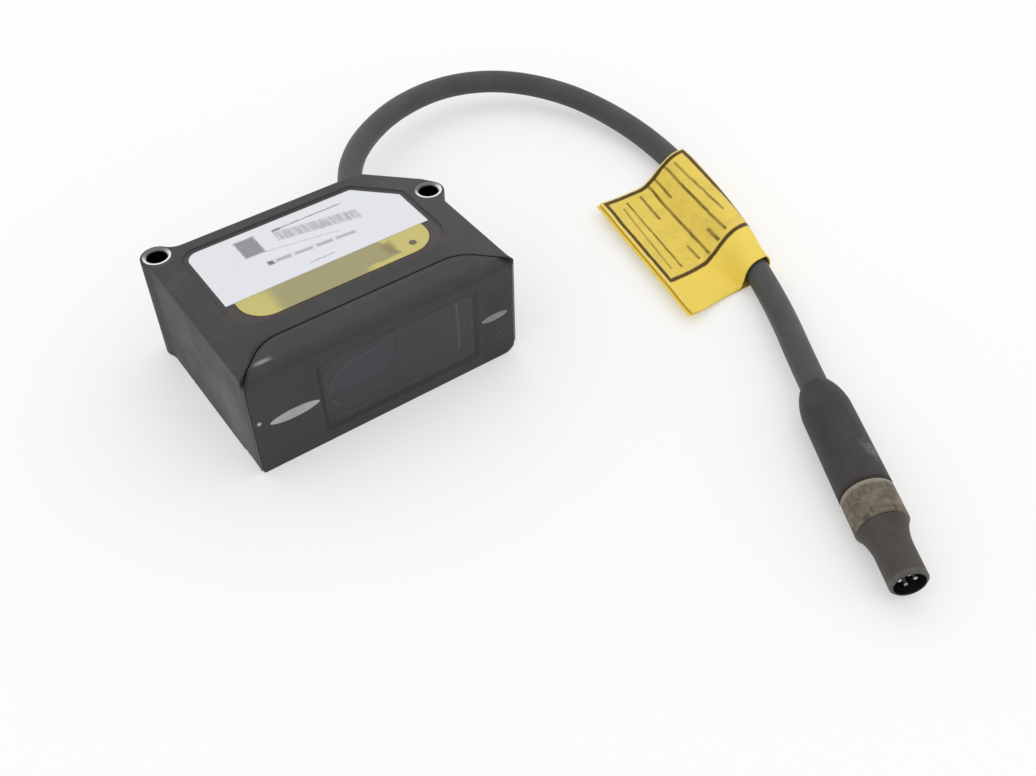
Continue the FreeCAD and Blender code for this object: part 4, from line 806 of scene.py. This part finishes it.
def flag_film(wanted):
    """Outer face of the flag label: a border with ruled strokes, stained inside it, with pale cut edges."""
    finish = Finish("Flag film", 0.48, Specular_IOR_Level=0.2)
    sheet = finish.vector("SCALE", finish.spot["UV"], scale=UV_SPAN)
    soft = finish.noise(finish.place, 0.1, 5.0, 0.6)
    finish.mottle(soft, wanted.film, 0.9)
    ragged = finish.ragged(sheet, 0.5, 0.4)
    inside = finish.field(ragged, BORDER_MIDDLE, BORDER_INSIDE, 0.2)
    grime = finish.ramp(finish.noise(finish.place, 0.2, 6.0, 0.7, 0.5), 0.4, 0.7, 0.2, 0.6)
    finish.paint(tone(206, 180, 80), grime, inside)
    faint = finish.ramp(finish.noise(finish.place, 0.15, 2.0, 0.5), 0.35, 0.65, 0.65, 0.95)
    across, down = finish.parts(ragged)[:2]
    turned = finish.joined(down, across)
    for lean, place, middle, half, width, strength in FLAG_STROKES:
        rows = finish.slanted(turned, lean)
        stroke = finish.field(rows, (middle, place - lean * middle), (half, width), 0.25)
        finish.paint(tone(84, 58, 12), stroke, faint, strength)
    outside = finish.field(ragged, BORDER_MIDDLE, BORDER_OUTSIDE, 0.2)
    finish.paint(wanted.ink, finish.less(outside, inside, True), 0.97)
    across, down = finish.parts(sheet)[:2]
    rim = finish.most(finish.ramp(down, 0.45, 0.2), finish.ramp(across, 0.5, 0.2, 0.0, 0.3))
    finish.paint(tone(226, 212, 150), rim, 0.6)
    bumps = finish.relief(finish.noise(finish.place, 0.28, 4.0), 0.2, 0.00012)
    return finish.surface(Roughness=finish.ramp(soft, 0.2, 0.8, 0.36, 0.5), Normal=bumps)


def grip_rubber(wanted):
    """Grip with grime, a scuff on its upper side and rust where it meets the ring."""
    finish = moulded("Grip rubber", wanted.grip, roughness=0.6, coarseness=4.0, dust=0.12, wear=0.15,
                     wear_and_sheen=tone(92, 91, 89))
    grime = finish.ramp(finish.noise(finish.place, 0.7, 6.0, 0.75, 0.6), 0.55, 0.72)
    finish.paint(tone(92, 90, 87), grime, 0.3)
    away = finish.gap_to(GRIP_SCUFF, (1.0, 0.6, 1.0))
    scratches = finish.ramp(finish.noise(finish.place, 1.7, 5.0, 0.7), 0.4, 0.65)
    finish.paint(tone(142, 139, 134), finish.ramp(away, 2.2, 0.6, 0.0, 0.6), scratches)
    rust = finish.ramp(finish.noise(finish.place, 0.45, 4.0, 0.6), 0.4, 0.6)
    finish.paint(tone(58, 34, 22), finish.ramp(finish.along_plug(), *GRIP_END, 0.0, 0.8), rust)
    return finish.material


def ring_nickel(wanted):
    """Dull ring with stains and pits, brighter at its rear and on its edges."""
    finish = Finish("Tarnished ring", 0.5, 0.25, Specular_IOR_Level=0.3)
    clouds = finish.ramp(finish.noise(finish.place, 0.5, 6.0, 0.7, 0.5), 0.36, 0.66)
    pits = finish.noise(finish.place, 3.5, 4.0, 0.7)
    finish.mottle(clouds, wanted.ring, 0.72, 1.15)
    stain = finish.ramp(finish.noise(finish.stretched((1.0, 0.6, 1.0)), 0.42, 3.0, 0.5, 1.2), 0.56, 0.64)
    finish.paint(tone(62, 56, 46), stain, 0.55)
    finish.paint(tone(74, 68, 54), finish.ramp(pits, 0.6, 0.75, 0.0, 0.4))
    finish.paint(tone(150, 147, 134), finish.ramp(finish.along_plug(), *RING_REAR, 0.0, 0.75))
    rounded = finish.eased_edges(0.00025)
    finish.paint(tone(160, 156, 144), finish.rubbed(rounded, 0.35))
    return finish.surface(Roughness=finish.ramp(clouds, 0.0, 1.0, 0.62, 0.46),
                          Normal=finish.relief(pits, 0.3, 0.00003, rounded))


def nose_plastic(wanted):
    """Nose with a painted highlight on its lip, broken up like scuffs, and painted shade in its bore."""
    finish = moulded("Nose plastic", wanted.shell, roughness=0.55, coarseness=4.0, dust=0.14, wear=0.2,
                     wear_and_sheen=tone(100, 97, 93))
    along = finish.along_plug()
    # Painted highlight on the lip, broken up by scuff-like noise.
    scuffs = finish.ramp(finish.noise(finish.place, 0.8, 5.0, 0.7), 0.35, 0.65, 0.3, 1.0)
    finish.paint(tone(128, 126, 122), finish.ramp(along, *NOSE_LIP, 0.0, 0.35), scuffs)
    # Painted shade in the bore.
    bore = finish.ramp(finish.from_plug_axis(), *BORE_RADIUS)
    finish.paint(tone(10, 10, 10), bore, finish.ramp(along, *BORE_START))
    return finish.material


def board_lacquer(wanted):
    """Lacquered board with tracks and bare pads."""
    finish = Finish("Board lacquer", 0.35, Coat_Weight=0.3)
    tracks = finish.add("ShaderNodeTexBrick", offset=0.37, squash=1.6, squash_frequency=3)
    finish.fill(tracks.inputs, Vector=finish.place, Scale=0.55, Mortar_Size=0.05)
    finish.mottle(finish.noise(finish.place, 0.3, 4.0), wanted.board, 0.85, 1.1)
    finish.paint(scaled(wanted.board, 1.9), tracks.outputs["Fac"], 0.5)
    pads = finish.ramp(finish.cells(finish.place, 0.42), 0.16, 0.2, 1.0, 0.0)
    finish.paint(tone(196, 190, 168), pads, 0.8)
    return finish.surface(Roughness=finish.ramp(pads, 0.0, 1.0, 0.38, 0.26),
                          Normal=finish.relief(tracks.outputs["Fac"], 0.3, 0.00004))


def shaded_barrel_end(finish):
    """One on the front end of the laser barrel, which is painted dark as painted shade in the laser opening.
    """
    return finish.ramp(finish.y, -12.5, -14.0)


def ribbon_film():
    """Amber ribbon with fine conductors."""
    finish = Finish("Ribbon film", 0.3, Coat_Weight=0.3)
    lines = finish.add("ShaderNodeTexWave", bands_direction="X")
    finish.fill(lines.inputs, Vector=finish.place, Scale=0.9)
    finish.base(finish.blend(lines.outputs[1], tone(186, 116, 40), tone(150, 84, 26)))
    return finish.surface(Roughness=finish.ramp(lines.outputs[1], 0.0, 1.0, 0.25, 0.36))


def core_insulation():
    """Four cores side by side, each in its own colour."""
    finish = Finish("Core insulation", 0.45)
    cores = finish.add("ShaderNodeValToRGB")
    finish.fill(cores.inputs, Fac=finish.ramp(finish.x, 11.0, 21.0))
    cores.color_ramp.interpolation = "CONSTANT"
    steps = cores.color_ramp.elements
    steps[0].color = opaque(tone(104, 66, 38))
    steps[1].position = 0.3
    steps[1].color = opaque(tone(220, 218, 212))
    for position, colour in ((0.55, tone(44, 84, 150)), (0.78, tone(36, 36, 38))):
        steps.new(position).color = opaque(colour)
    speckle = finish.noise(finish.place, 1.8, 3.0)
    finish.base(cores.outputs["Color"])
    finish.paint(tone(128, 124, 118), finish.ramp(speckle, 0.3, 0.7, 0.0, 0.15))
    return finish.surface(Roughness=finish.ramp(speckle, 0.3, 0.7, 0.38, 0.52))


def through(points, step, part):
    """Point of the smooth curve through points, a part of the way from one of them to the next."""
    last = len(points) - 1
    around = [points[min(max(step + near, 0), last)] for near in (-1, 0, 1, 2)]
    return tuple(
        b + 0.5 * part * (c - a + part * (2.0 * a - 5.0 * b + 4.0 * c - d + part * (3.0 * (b - c) + d - a)))
        for a, b, c, d in zip(*around))


def flag_section(share, lift):
    """Points of the film across one section, from the upper free edge round the fold to the lower one."""
    steps = len(FLAG_STATIONS) - 1
    step = min(int(share * steps), steps - 1)
    fold, edge, spread = through(FLAG_STATIONS, step, share * steps - step)
    edge -= FLAG_REACH
    foot, _, foot_height = FLAG_SLOPE[-1]
    knee = (2.0 * edge + fold - foot) / 3.0
    points = [(edge, UPPER_EDGE_HEIGHT + lift), (knee, foot_height + lift * KNEE_LIFT)]
    for tight, wide, height in reversed(FLAG_SLOPE):
        points.append((fold - tight - wide * spread, height))
    for step in range(1, LOOP_STEPS):
        turn = math.radians(90.0 - 180.0 * step / LOOP_STEPS)
        points.append((fold + LOOP_RADIUS * math.cos(turn), LOOP_HEIGHT + LOOP_RADIUS * math.sin(turn)))
    points += [(fold - left, height) for left, height in FLAG_UNDER]
    points += [(knee, LOWER_EDGE_HEIGHT + lift * KNEE_LIFT), (edge - FLAG_OFFSET, LOWER_EDGE_HEIGHT + lift)]
    return points


def smooth_line(points, count):
    """Evenly spaced points on the smooth curve through points, with the distance along it."""
    pieces = 12
    dense = [through(points, step, part / pieces)
             for step in range(len(points) - 1) for part in range(pieces)]
    dense.append(points[-1])
    along = [0.0]
    for first, second in zip(dense, dense[1:]):
        along.append(along[-1] + math.dist(first, second))
    line = []
    step = 0
    for number in range(count):
        wanted = along[-1] * number / (count - 1)
        while step < len(dense) - 2 and along[step + 1] < wanted:
            step += 1
        part = (wanted - along[step]) / (along[step + 1] - along[step])
        line.append(tuple(a + (b - a) * part for a, b in zip(dense[step], dense[step + 1])) + (wanted,))
    return line


def fold_film(data, wanted):
    """Lay a flat grid of size one along the sections, with the distances on the flat film as its UV map."""
    lines = [smooth_line(flag_section(row / FLAG_ROWS, wanted.lift / MILLIMETRE), FLAG_COLUMNS + 1)
             for row in range(FLAG_ROWS + 1)]
    mesh = bmesh.new()
    mesh.from_mesh(data)
    layer = mesh.loops.layers.uv.verify()
    flat = {}
    for corner in mesh.verts:
        row = round((0.5 - corner.co.y) * FLAG_ROWS)
        x, z, reach = lines[row][round((corner.co.x + 0.5) * FLAG_COLUMNS)]
        down = wanted.length / MILLIMETRE * row / FLAG_ROWS
        if RIPPLE_FROM < reach < RIPPLE_TO:
            z += RIPPLE_HEIGHT * math.sin(down * RIPPLE_DOWN + reach * RIPPLE_ALONG)
        inwards = min(reach, lines[row][-1][2] - reach)
        pull = FLAG_PULL * max(0.0, 1.0 - inwards / FLAG_PULL_START) ** 1.5
        corner.co = (x * MILLIMETRE, wanted.far_end - (down + pull) * MILLIMETRE, z * MILLIMETRE)
        flat[corner.index] = (reach / UV_SPAN, down / UV_SPAN)
    for face in mesh.faces:
        for loop in face.loops:
            loop[layer].uv = flat[loop.vert.index]
    bmesh.ops.recalc_face_normals(mesh, faces=mesh.faces)
    mesh.to_mesh(data)
    mesh.free()
    if data.polygons[0].normal.z < 0.0:
        data.flip_normals()


def colour_setting(name, description, *steps):
    """Colour that a user may change, with its default in the usual 0 to 255 steps."""
    return FloatVectorProperty(name=name, description=description, subtype="COLOR", default=tone(*steps))


def length_setting(name, description, default):
    """Length that a user may change."""
    return FloatProperty(name=name, description=description, unit="LENGTH", default=default)


class StageSettings(bpy.types.PropertyGroup):
    """Camera, floor and light"""

    camera_place: FloatVectorProperty(
        name="Camera", description="Place of the camera", subtype="TRANSLATION", unit="LENGTH",
        default=(-0.077004, -0.178282, 0.174040))
    camera_turn: FloatVectorProperty(
        name="Turn", description="Turn of the camera", subtype="EULER",
        default=(0.789834, 0.017649, -0.619768))
    lens: FloatProperty(
        name="Lens", description="Focal length on a frame 36 mm wide", unit="CAMERA", default=41.678)
    floor_colour: colour_setting("Floor", "Colour of the floor", 253, 253, 252)
    key_power: FloatProperty(
        name="Key light", description="Power of the large soft lamp", subtype="POWER", default=1.1)
    fill: FloatProperty(name="Fill", description="Light from all round", default=0.95)


class CaseSettings(bpy.types.PropertyGroup):
    """Housing and front cover"""

    housing_colour: colour_setting("Housing", "Moulded shell", 56, 55, 56)
    cover_colour: colour_setting("Front cover", "Moulded cap", 52, 52, 53)
    # Pale colour painted in the dimples beside the window.
    dimple_colour: colour_setting("Dimples", "Rubbed hollows beside the window", 176, 176, 175)
    dust: FloatProperty(
        name="Dust", description="How much dust lies on the head", subtype="FACTOR", min=0.0, max=1.0,
        default=0.12)


class OpticsSettings(bpy.types.PropertyGroup):
    """Pane and what shows behind it"""

    pane_colour: colour_setting("Pane", "Tint of the pane", 146, 147, 150)
    lens_colour: colour_setting("Lens", "Coated receiving lens", 176, 189, 220)
    block_colour: colour_setting("Optical block", "Dark chassis", 96, 96, 97)


class LabelSettings(bpy.types.PropertyGroup):
    """Labels on the top"""

    white: colour_setting("White label", "Label film", 226, 228, 233)
    yellow: colour_setting("Yellow strip", "Strip in front of it", 202, 190, 110)
    khaki: colour_setting("Strip band", "Dull band on the strip", 155, 149, 105)
    ink: colour_setting("Print", "Grey printed fields", 70, 72, 82)


class BushSettings(bpy.types.PropertyGroup):
    """Metal sleeves"""

    steel: colour_setting("Steel", "Bright sleeve", 236, 234, 230)


class FlagSettings(bpy.types.PropertyGroup):
    """Folded flag label"""

    far_end: length_setting("Far end", "Far end along the head", 0.005)
    length: length_setting("Length", "Size along the head", 0.043)
    flat_width: length_setting("Flat width", "Width before it was folded", 0.063)
    layer: length_setting("Layer", "Thickness of the film", 0.00028)
    lift: length_setting("Lift", "How far the free edge stands off the floor", 0.0024)
    film: colour_setting("Film", "Yellow film", 246, 217, 94)
    ink: colour_setting("Print", "Dark brown print", 66, 42, 6)


class CableSettings(bpy.types.PropertyGroup):
    """Pigtail cable"""

    diameter: length_setting("Diameter", "Outside of the jacket", 0.0057)
    length: length_setting("Length", "From inside the head to the plug", 0.2464)
    jacket: colour_setting("Jacket", "Dark grey jacket", 68, 68, 70)


class PlugSettings(bpy.types.PropertyGroup):
    """Plug on the cable"""

    grip: colour_setting("Grip", "Moulded grip", 53, 52, 52)
    ring: colour_setting("Ring", "Tarnished ring", 112, 104, 88)
    shell: colour_setting("Nose", "Dark plug nose", 65, 61, 58)
    insert: colour_setting("Insert", "Pale insert", 222, 228, 224)


class InsideSettings(bpy.types.PropertyGroup):
    """Pieces inside the head"""

    board: colour_setting("Boards", "Circuit boards", 38, 92, 60)
    brass: colour_setting("Brass", "Laser barrel and can", 204, 176, 110)


def group_setting(name, group):
    """Group of settings, with the group's own words as its description."""
    return PointerProperty(type=group, name=name, description=group.__doc__)


class SensorSettings(bpy.types.PropertyGroup):
    """All settings of the sensor, one group for each operator."""

    stage: group_setting("Stage", StageSettings)
    case: group_setting("Case", CaseSettings)
    optics: group_setting("Optics", OpticsSettings)
    labels: group_setting("Labels", LabelSettings)
    bushes: group_setting("Bushes", BushSettings)
    flag: group_setting("Flag label", FlagSettings)
    cable: group_setting("Cable", CableSettings)
    plug: group_setting("Plug", PlugSettings)
    inside: group_setting("Inside", InsideSettings)


class SENSOR_OT_stage(bpy.types.Operator):
    """Set up the camera, the pale floor and the soft light"""

    bl_idname = "sensor.stage"
    bl_label = "Stage"

    def execute(self, context):
        wanted = context.scene.sensor.stage
        context.scene.view_settings.view_transform = "Standard"
        bpy.ops.object.select_all(action="DESELECT")
        bpy.ops.object.camera_add(location=wanted.camera_place, rotation=wanted.camera_turn)
        camera = context.object
        camera.data.sensor_width = 36.0
        camera.data.lens = wanted.lens
        camera.data.clip_start = 0.01
        context.scene.camera = camera

        bpy.ops.mesh.primitive_plane_add(size=FLOOR_SIZE, location=(0.0, 0.0, FLOOR_HEIGHT))
        floor = context.object
        floor.name = "floor"
        floor.data.materials.append(pale_floor(wanted))

        for name, place, size, share in LAMPS:
            turn = (LAMP_AIM - place).to_track_quat("-Z", "Y").to_euler()
            bpy.ops.object.light_add(type="AREA", location=place, rotation=turn)
            lamp = context.object
            lamp.name = name
            lamp.data.size = size
            lamp.data.energy = wanted.key_power * share

        world = bpy.data.worlds.new("Studio")
        world.use_nodes = True
        context.scene.world = world
        recipe = Recipe(world.node_tree)
        recipe.fill(world.node_tree.nodes["Background"].inputs, Color=(1.0, 1.0, 1.0),
                    Strength=recipe.ramp(recipe.background_rays(), 0.0, 1.0, wanted.fill, 1.0))
        return {"FINISHED"}


class SENSOR_OT_case(bpy.types.Operator):
    """Finish the housing, the front cover and the cable outlet"""

    bl_idname = "sensor.case"
    bl_label = "Case"

    def execute(self, context):
        wanted = context.scene.sensor.case
        dress(housing_plastic(wanted), "housing")
        dress(cover_plastic(wanted), "front_cover")
        gland = moulded("Gland rubber", tone(46, 46, 47), roughness=0.6, coarseness=7.0, dust=0.15, wear=0.2)
        dress(gland.material, "cable_gland")
        return {"FINISHED"}


class SENSOR_OT_optics(bpy.types.Operator):
    """Finish the pane, its seal, the receiving lens and the optical block"""

    bl_idname = "sensor.optics"
    bl_label = "Optics"

    def execute(self, context):
        wanted = context.scene.sensor.optics
        dress(tinted_pane(wanted), "front_window")
        dress(coated_lens(wanted), "receiver_lens")
        clear = clouded("Clear lens", 0.03, (tone(225, 232, 240), tone(245, 248, 250)), (1.2, 4.0, 0.6),
                        (0.3, 0.8, 0.02, 0.08), Transmission_Weight=1.0, IOR=1.52)
        dress(clear, "collimator_lens")
        dress(block_plastic(wanted), "optical_block")
        # The seal is painted pale grey as painted light that offsets its shade behind the pane.
        seal = moulded("Seal rubber", tone(138, 138, 139), roughness=0.7, coarseness=9.0, dust=0.05, wear=0.0)
        dress(seal.material, "window_gasket")
        return {"FINISHED"}


class SENSOR_OT_labels(bpy.types.Operator):
    """Finish the white label, the yellow strip and the indicator"""

    bl_idname = "sensor.labels"
    bl_label = "Labels"

    def execute(self, context):
        wanted = context.scene.sensor.labels
        dress(white_film(wanted), "top_label")
        dress(yellow_film(wanted), "yellow_strip")
        lamp = clouded("Indicator lens", 0.25, (tone(48, 40, 28), tone(108, 92, 56)), (2.4, 4.0, 0.6),
                       (0.3, 0.7, 0.2, 0.4), Coat_Weight=0.4)
        dress(lamp, "indicator_lens")
        return {"FINISHED"}


class SENSOR_OT_bushes(bpy.types.Operator):
    """Finish the metal sleeves of the mounting holes"""

    bl_idname = "sensor.bushes"
    bl_label = "Mounting bushes"

    def execute(self, context):
        for name, centre in BUSHES:
            dress(bush_steel(name, centre, context.scene.sensor.bushes), name)
        return {"FINISHED"}


class SENSOR_OT_flag(bpy.types.Operator):
    """Fold the flag label round the cable"""

    bl_idname = "sensor.flag"
    bl_label = "Flag label"

    def execute(self, context):
        wanted = context.scene.sensor.flag
        bpy.ops.object.select_all(action="DESELECT")
        bpy.ops.mesh.primitive_grid_add(
            x_subdivisions=FLAG_COLUMNS, y_subdivisions=FLAG_ROWS, size=1.0, calc_uvs=True)
        flag = context.object
        flag.name = "flag_label"
        fold_film(flag.data, wanted)
        skin = flag.modifiers.new("film", "SOLIDIFY")
        skin.thickness = wanted.layer
        skin.offset = 0.0
        skin.material_offset = 1
        skin.material_offset_rim = 1
        bpy.ops.object.modifier_apply(modifier="film")
        bpy.ops.object.shade_smooth_by_angle(angle=math.radians(50.0))
        flag.data.materials.append(flag_film(wanted))
        flag.data.materials.append(clouded("Flag backing", 0.5, (tone(150, 128, 62), tone(206, 182, 100)),
                                           (0.4, 5.0, 0.6), (0.2, 0.8, 0.4, 0.6)))
        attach(flag, "sensor")
        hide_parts("cable_tag")
        return {"FINISHED"}


class SENSOR_OT_cable(bpy.types.Operator):
    """Lay the cable from the head to the plug"""

    bl_idname = "sensor.cable"
    bl_label = "Cable"

    def execute(self, context):
        wanted = context.scene.sensor.cable
        curve = bpy.data.curves.new("cable_jacket", "CURVE")
        curve.dimensions = "3D"
        spline = curve.splines.new("NURBS")
        spline.points.add(len(CABLE_POINTS) - 1)
        for point, place in zip(spline.points, CABLE_POINTS):
            point.co = place + (1.0,)
        spline.order_u = 3
        spline.use_endpoint_u = True
        spline.resolution_u = 12
        curve.bevel_depth = wanted.diameter / 2.0
        curve.bevel_resolution = 8
        curve.use_fill_caps = True
        cable = bpy.data.objects.new("cable_jacket", curve)
        context.scene.collection.objects.link(cable)
        jacket = moulded("Cable jacket", wanted.jacket, roughness=0.5, coarseness=3.5, dust=0.14, wear=0.0,
                         depth=0.00002, cloud=0.12)
        cable.data.materials.append(jacket.material)
        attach(cable, "sensor")
        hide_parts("cable")
        return {"FINISHED"}


class SENSOR_OT_plug(bpy.types.Operator):
    """Finish the plug: grip, ring, nose, insert and pins"""

    bl_idname = "sensor.plug"
    bl_label = "Plug"

    def execute(self, context):
        wanted = context.scene.sensor.plug
        dress(grip_rubber(wanted), "connector_grip")
        dress(ring_nickel(wanted), "coupling_ring")
        dress(nose_plastic(wanted), "connector_shell")
        insert = moulded("Insert plastic", wanted.insert, roughness=0.5, coarseness=6.0, dust=0.1, wear=0.2,
                         wear_and_sheen=tone(200, 200, 196))
        dress(insert.material, "contact_insert")
        dress(metal("Pin plating", tone(206, 208, 206), 0.3, tone(120, 120, 118), 0.3), "contact_pins")
        return {"FINISHED"}


class SENSOR_OT_inside(bpy.types.Operator):
    """Finish the boards, the laser and the small pieces inside the head"""

    bl_idname = "sensor.inside"
    bl_label = "Inside"

    def execute(self, context):
        wanted = context.scene.sensor.inside
        dress(board_lacquer(wanted), "main_board", "sensor_board")
        chips = moulded("Chip package", tone(44, 44, 46), roughness=0.55, coarseness=9.0, dust=0.0, wear=0.2)
        dress(chips.material, "board_chips", "image_sensor")
        # The barrel's front end takes the dark colour as painted shade.
        brass = metal("Turned brass", wanted.brass, 0.26, tone(36, 32, 28), 0.2, (1.0, 9.0, 1.0),
                      shaded_barrel_end)
        dress(brass, "laser_barrel", "laser_diode")
        zinc = metal("Zinc plating", tone(190, 190, 186), 0.34, tone(120, 116, 104), 0.35)
        dress(zinc, "board_screws", "cable_clamp")
        dress(ribbon_film(), "flex_link")
        dress(core_insulation(), "lead_wires")
        milky = clouded("Milky body", 0.3, (tone(214, 208, 188), tone(236, 232, 218)), (1.5, 3.0),
                        (0.3, 0.7, 0.24, 0.36), Subsurface_Weight=0.2)
        dress(milky, "indicator_led")
        return {"FINISHED"}


class SENSOR_PT_panel(bpy.types.Panel):
    """Lists the sensor's steps and their settings"""

    bl_idname = "SENSOR_PT_panel"
    bl_label = "Laser distance sensor"
    bl_space_type = "VIEW_3D"
    bl_region_type = "UI"
    bl_category = "Sensor"

    def draw(self, context):
        for step in SensorSettings.__annotations__:
            group = getattr(context.scene.sensor, step)
            box = self.layout.box()
            box.operator("sensor." + step)
            for name in group.__annotations__:
                box.prop(group, name)


CLASSES = (
    StageSettings, CaseSettings, OpticsSettings, LabelSettings, BushSettings, FlagSettings, CableSettings,
    PlugSettings, InsideSettings, SensorSettings, SENSOR_OT_stage, SENSOR_OT_case, SENSOR_OT_optics,
    SENSOR_OT_labels, SENSOR_OT_bushes, SENSOR_OT_flag, SENSOR_OT_cable, SENSOR_OT_plug, SENSOR_OT_inside,
    SENSOR_PT_panel,
)


def register():
    """Register the classes and the settings."""
    for item in CLASSES:
        bpy.utils.register_class(item)
    bpy.types.Scene.sensor = PointerProperty(type=SensorSettings)


def unregister():
    """Remove the settings and the classes."""
    del bpy.types.Scene.sensor
    for item in reversed(CLASSES):
        bpy.utils.unregister_class(item)


def main():
    """Build the scene step by step."""
    register()
    bpy.ops.sensor.stage()
    bpy.ops.sensor.case()
    bpy.ops.sensor.optics()
    bpy.ops.sensor.labels()
    bpy.ops.sensor.bushes()
    bpy.ops.sensor.flag()
    bpy.ops.sensor.cable()
    bpy.ops.sensor.plug()
    bpy.ops.sensor.inside()


if __name__ == "__main__":
    main()
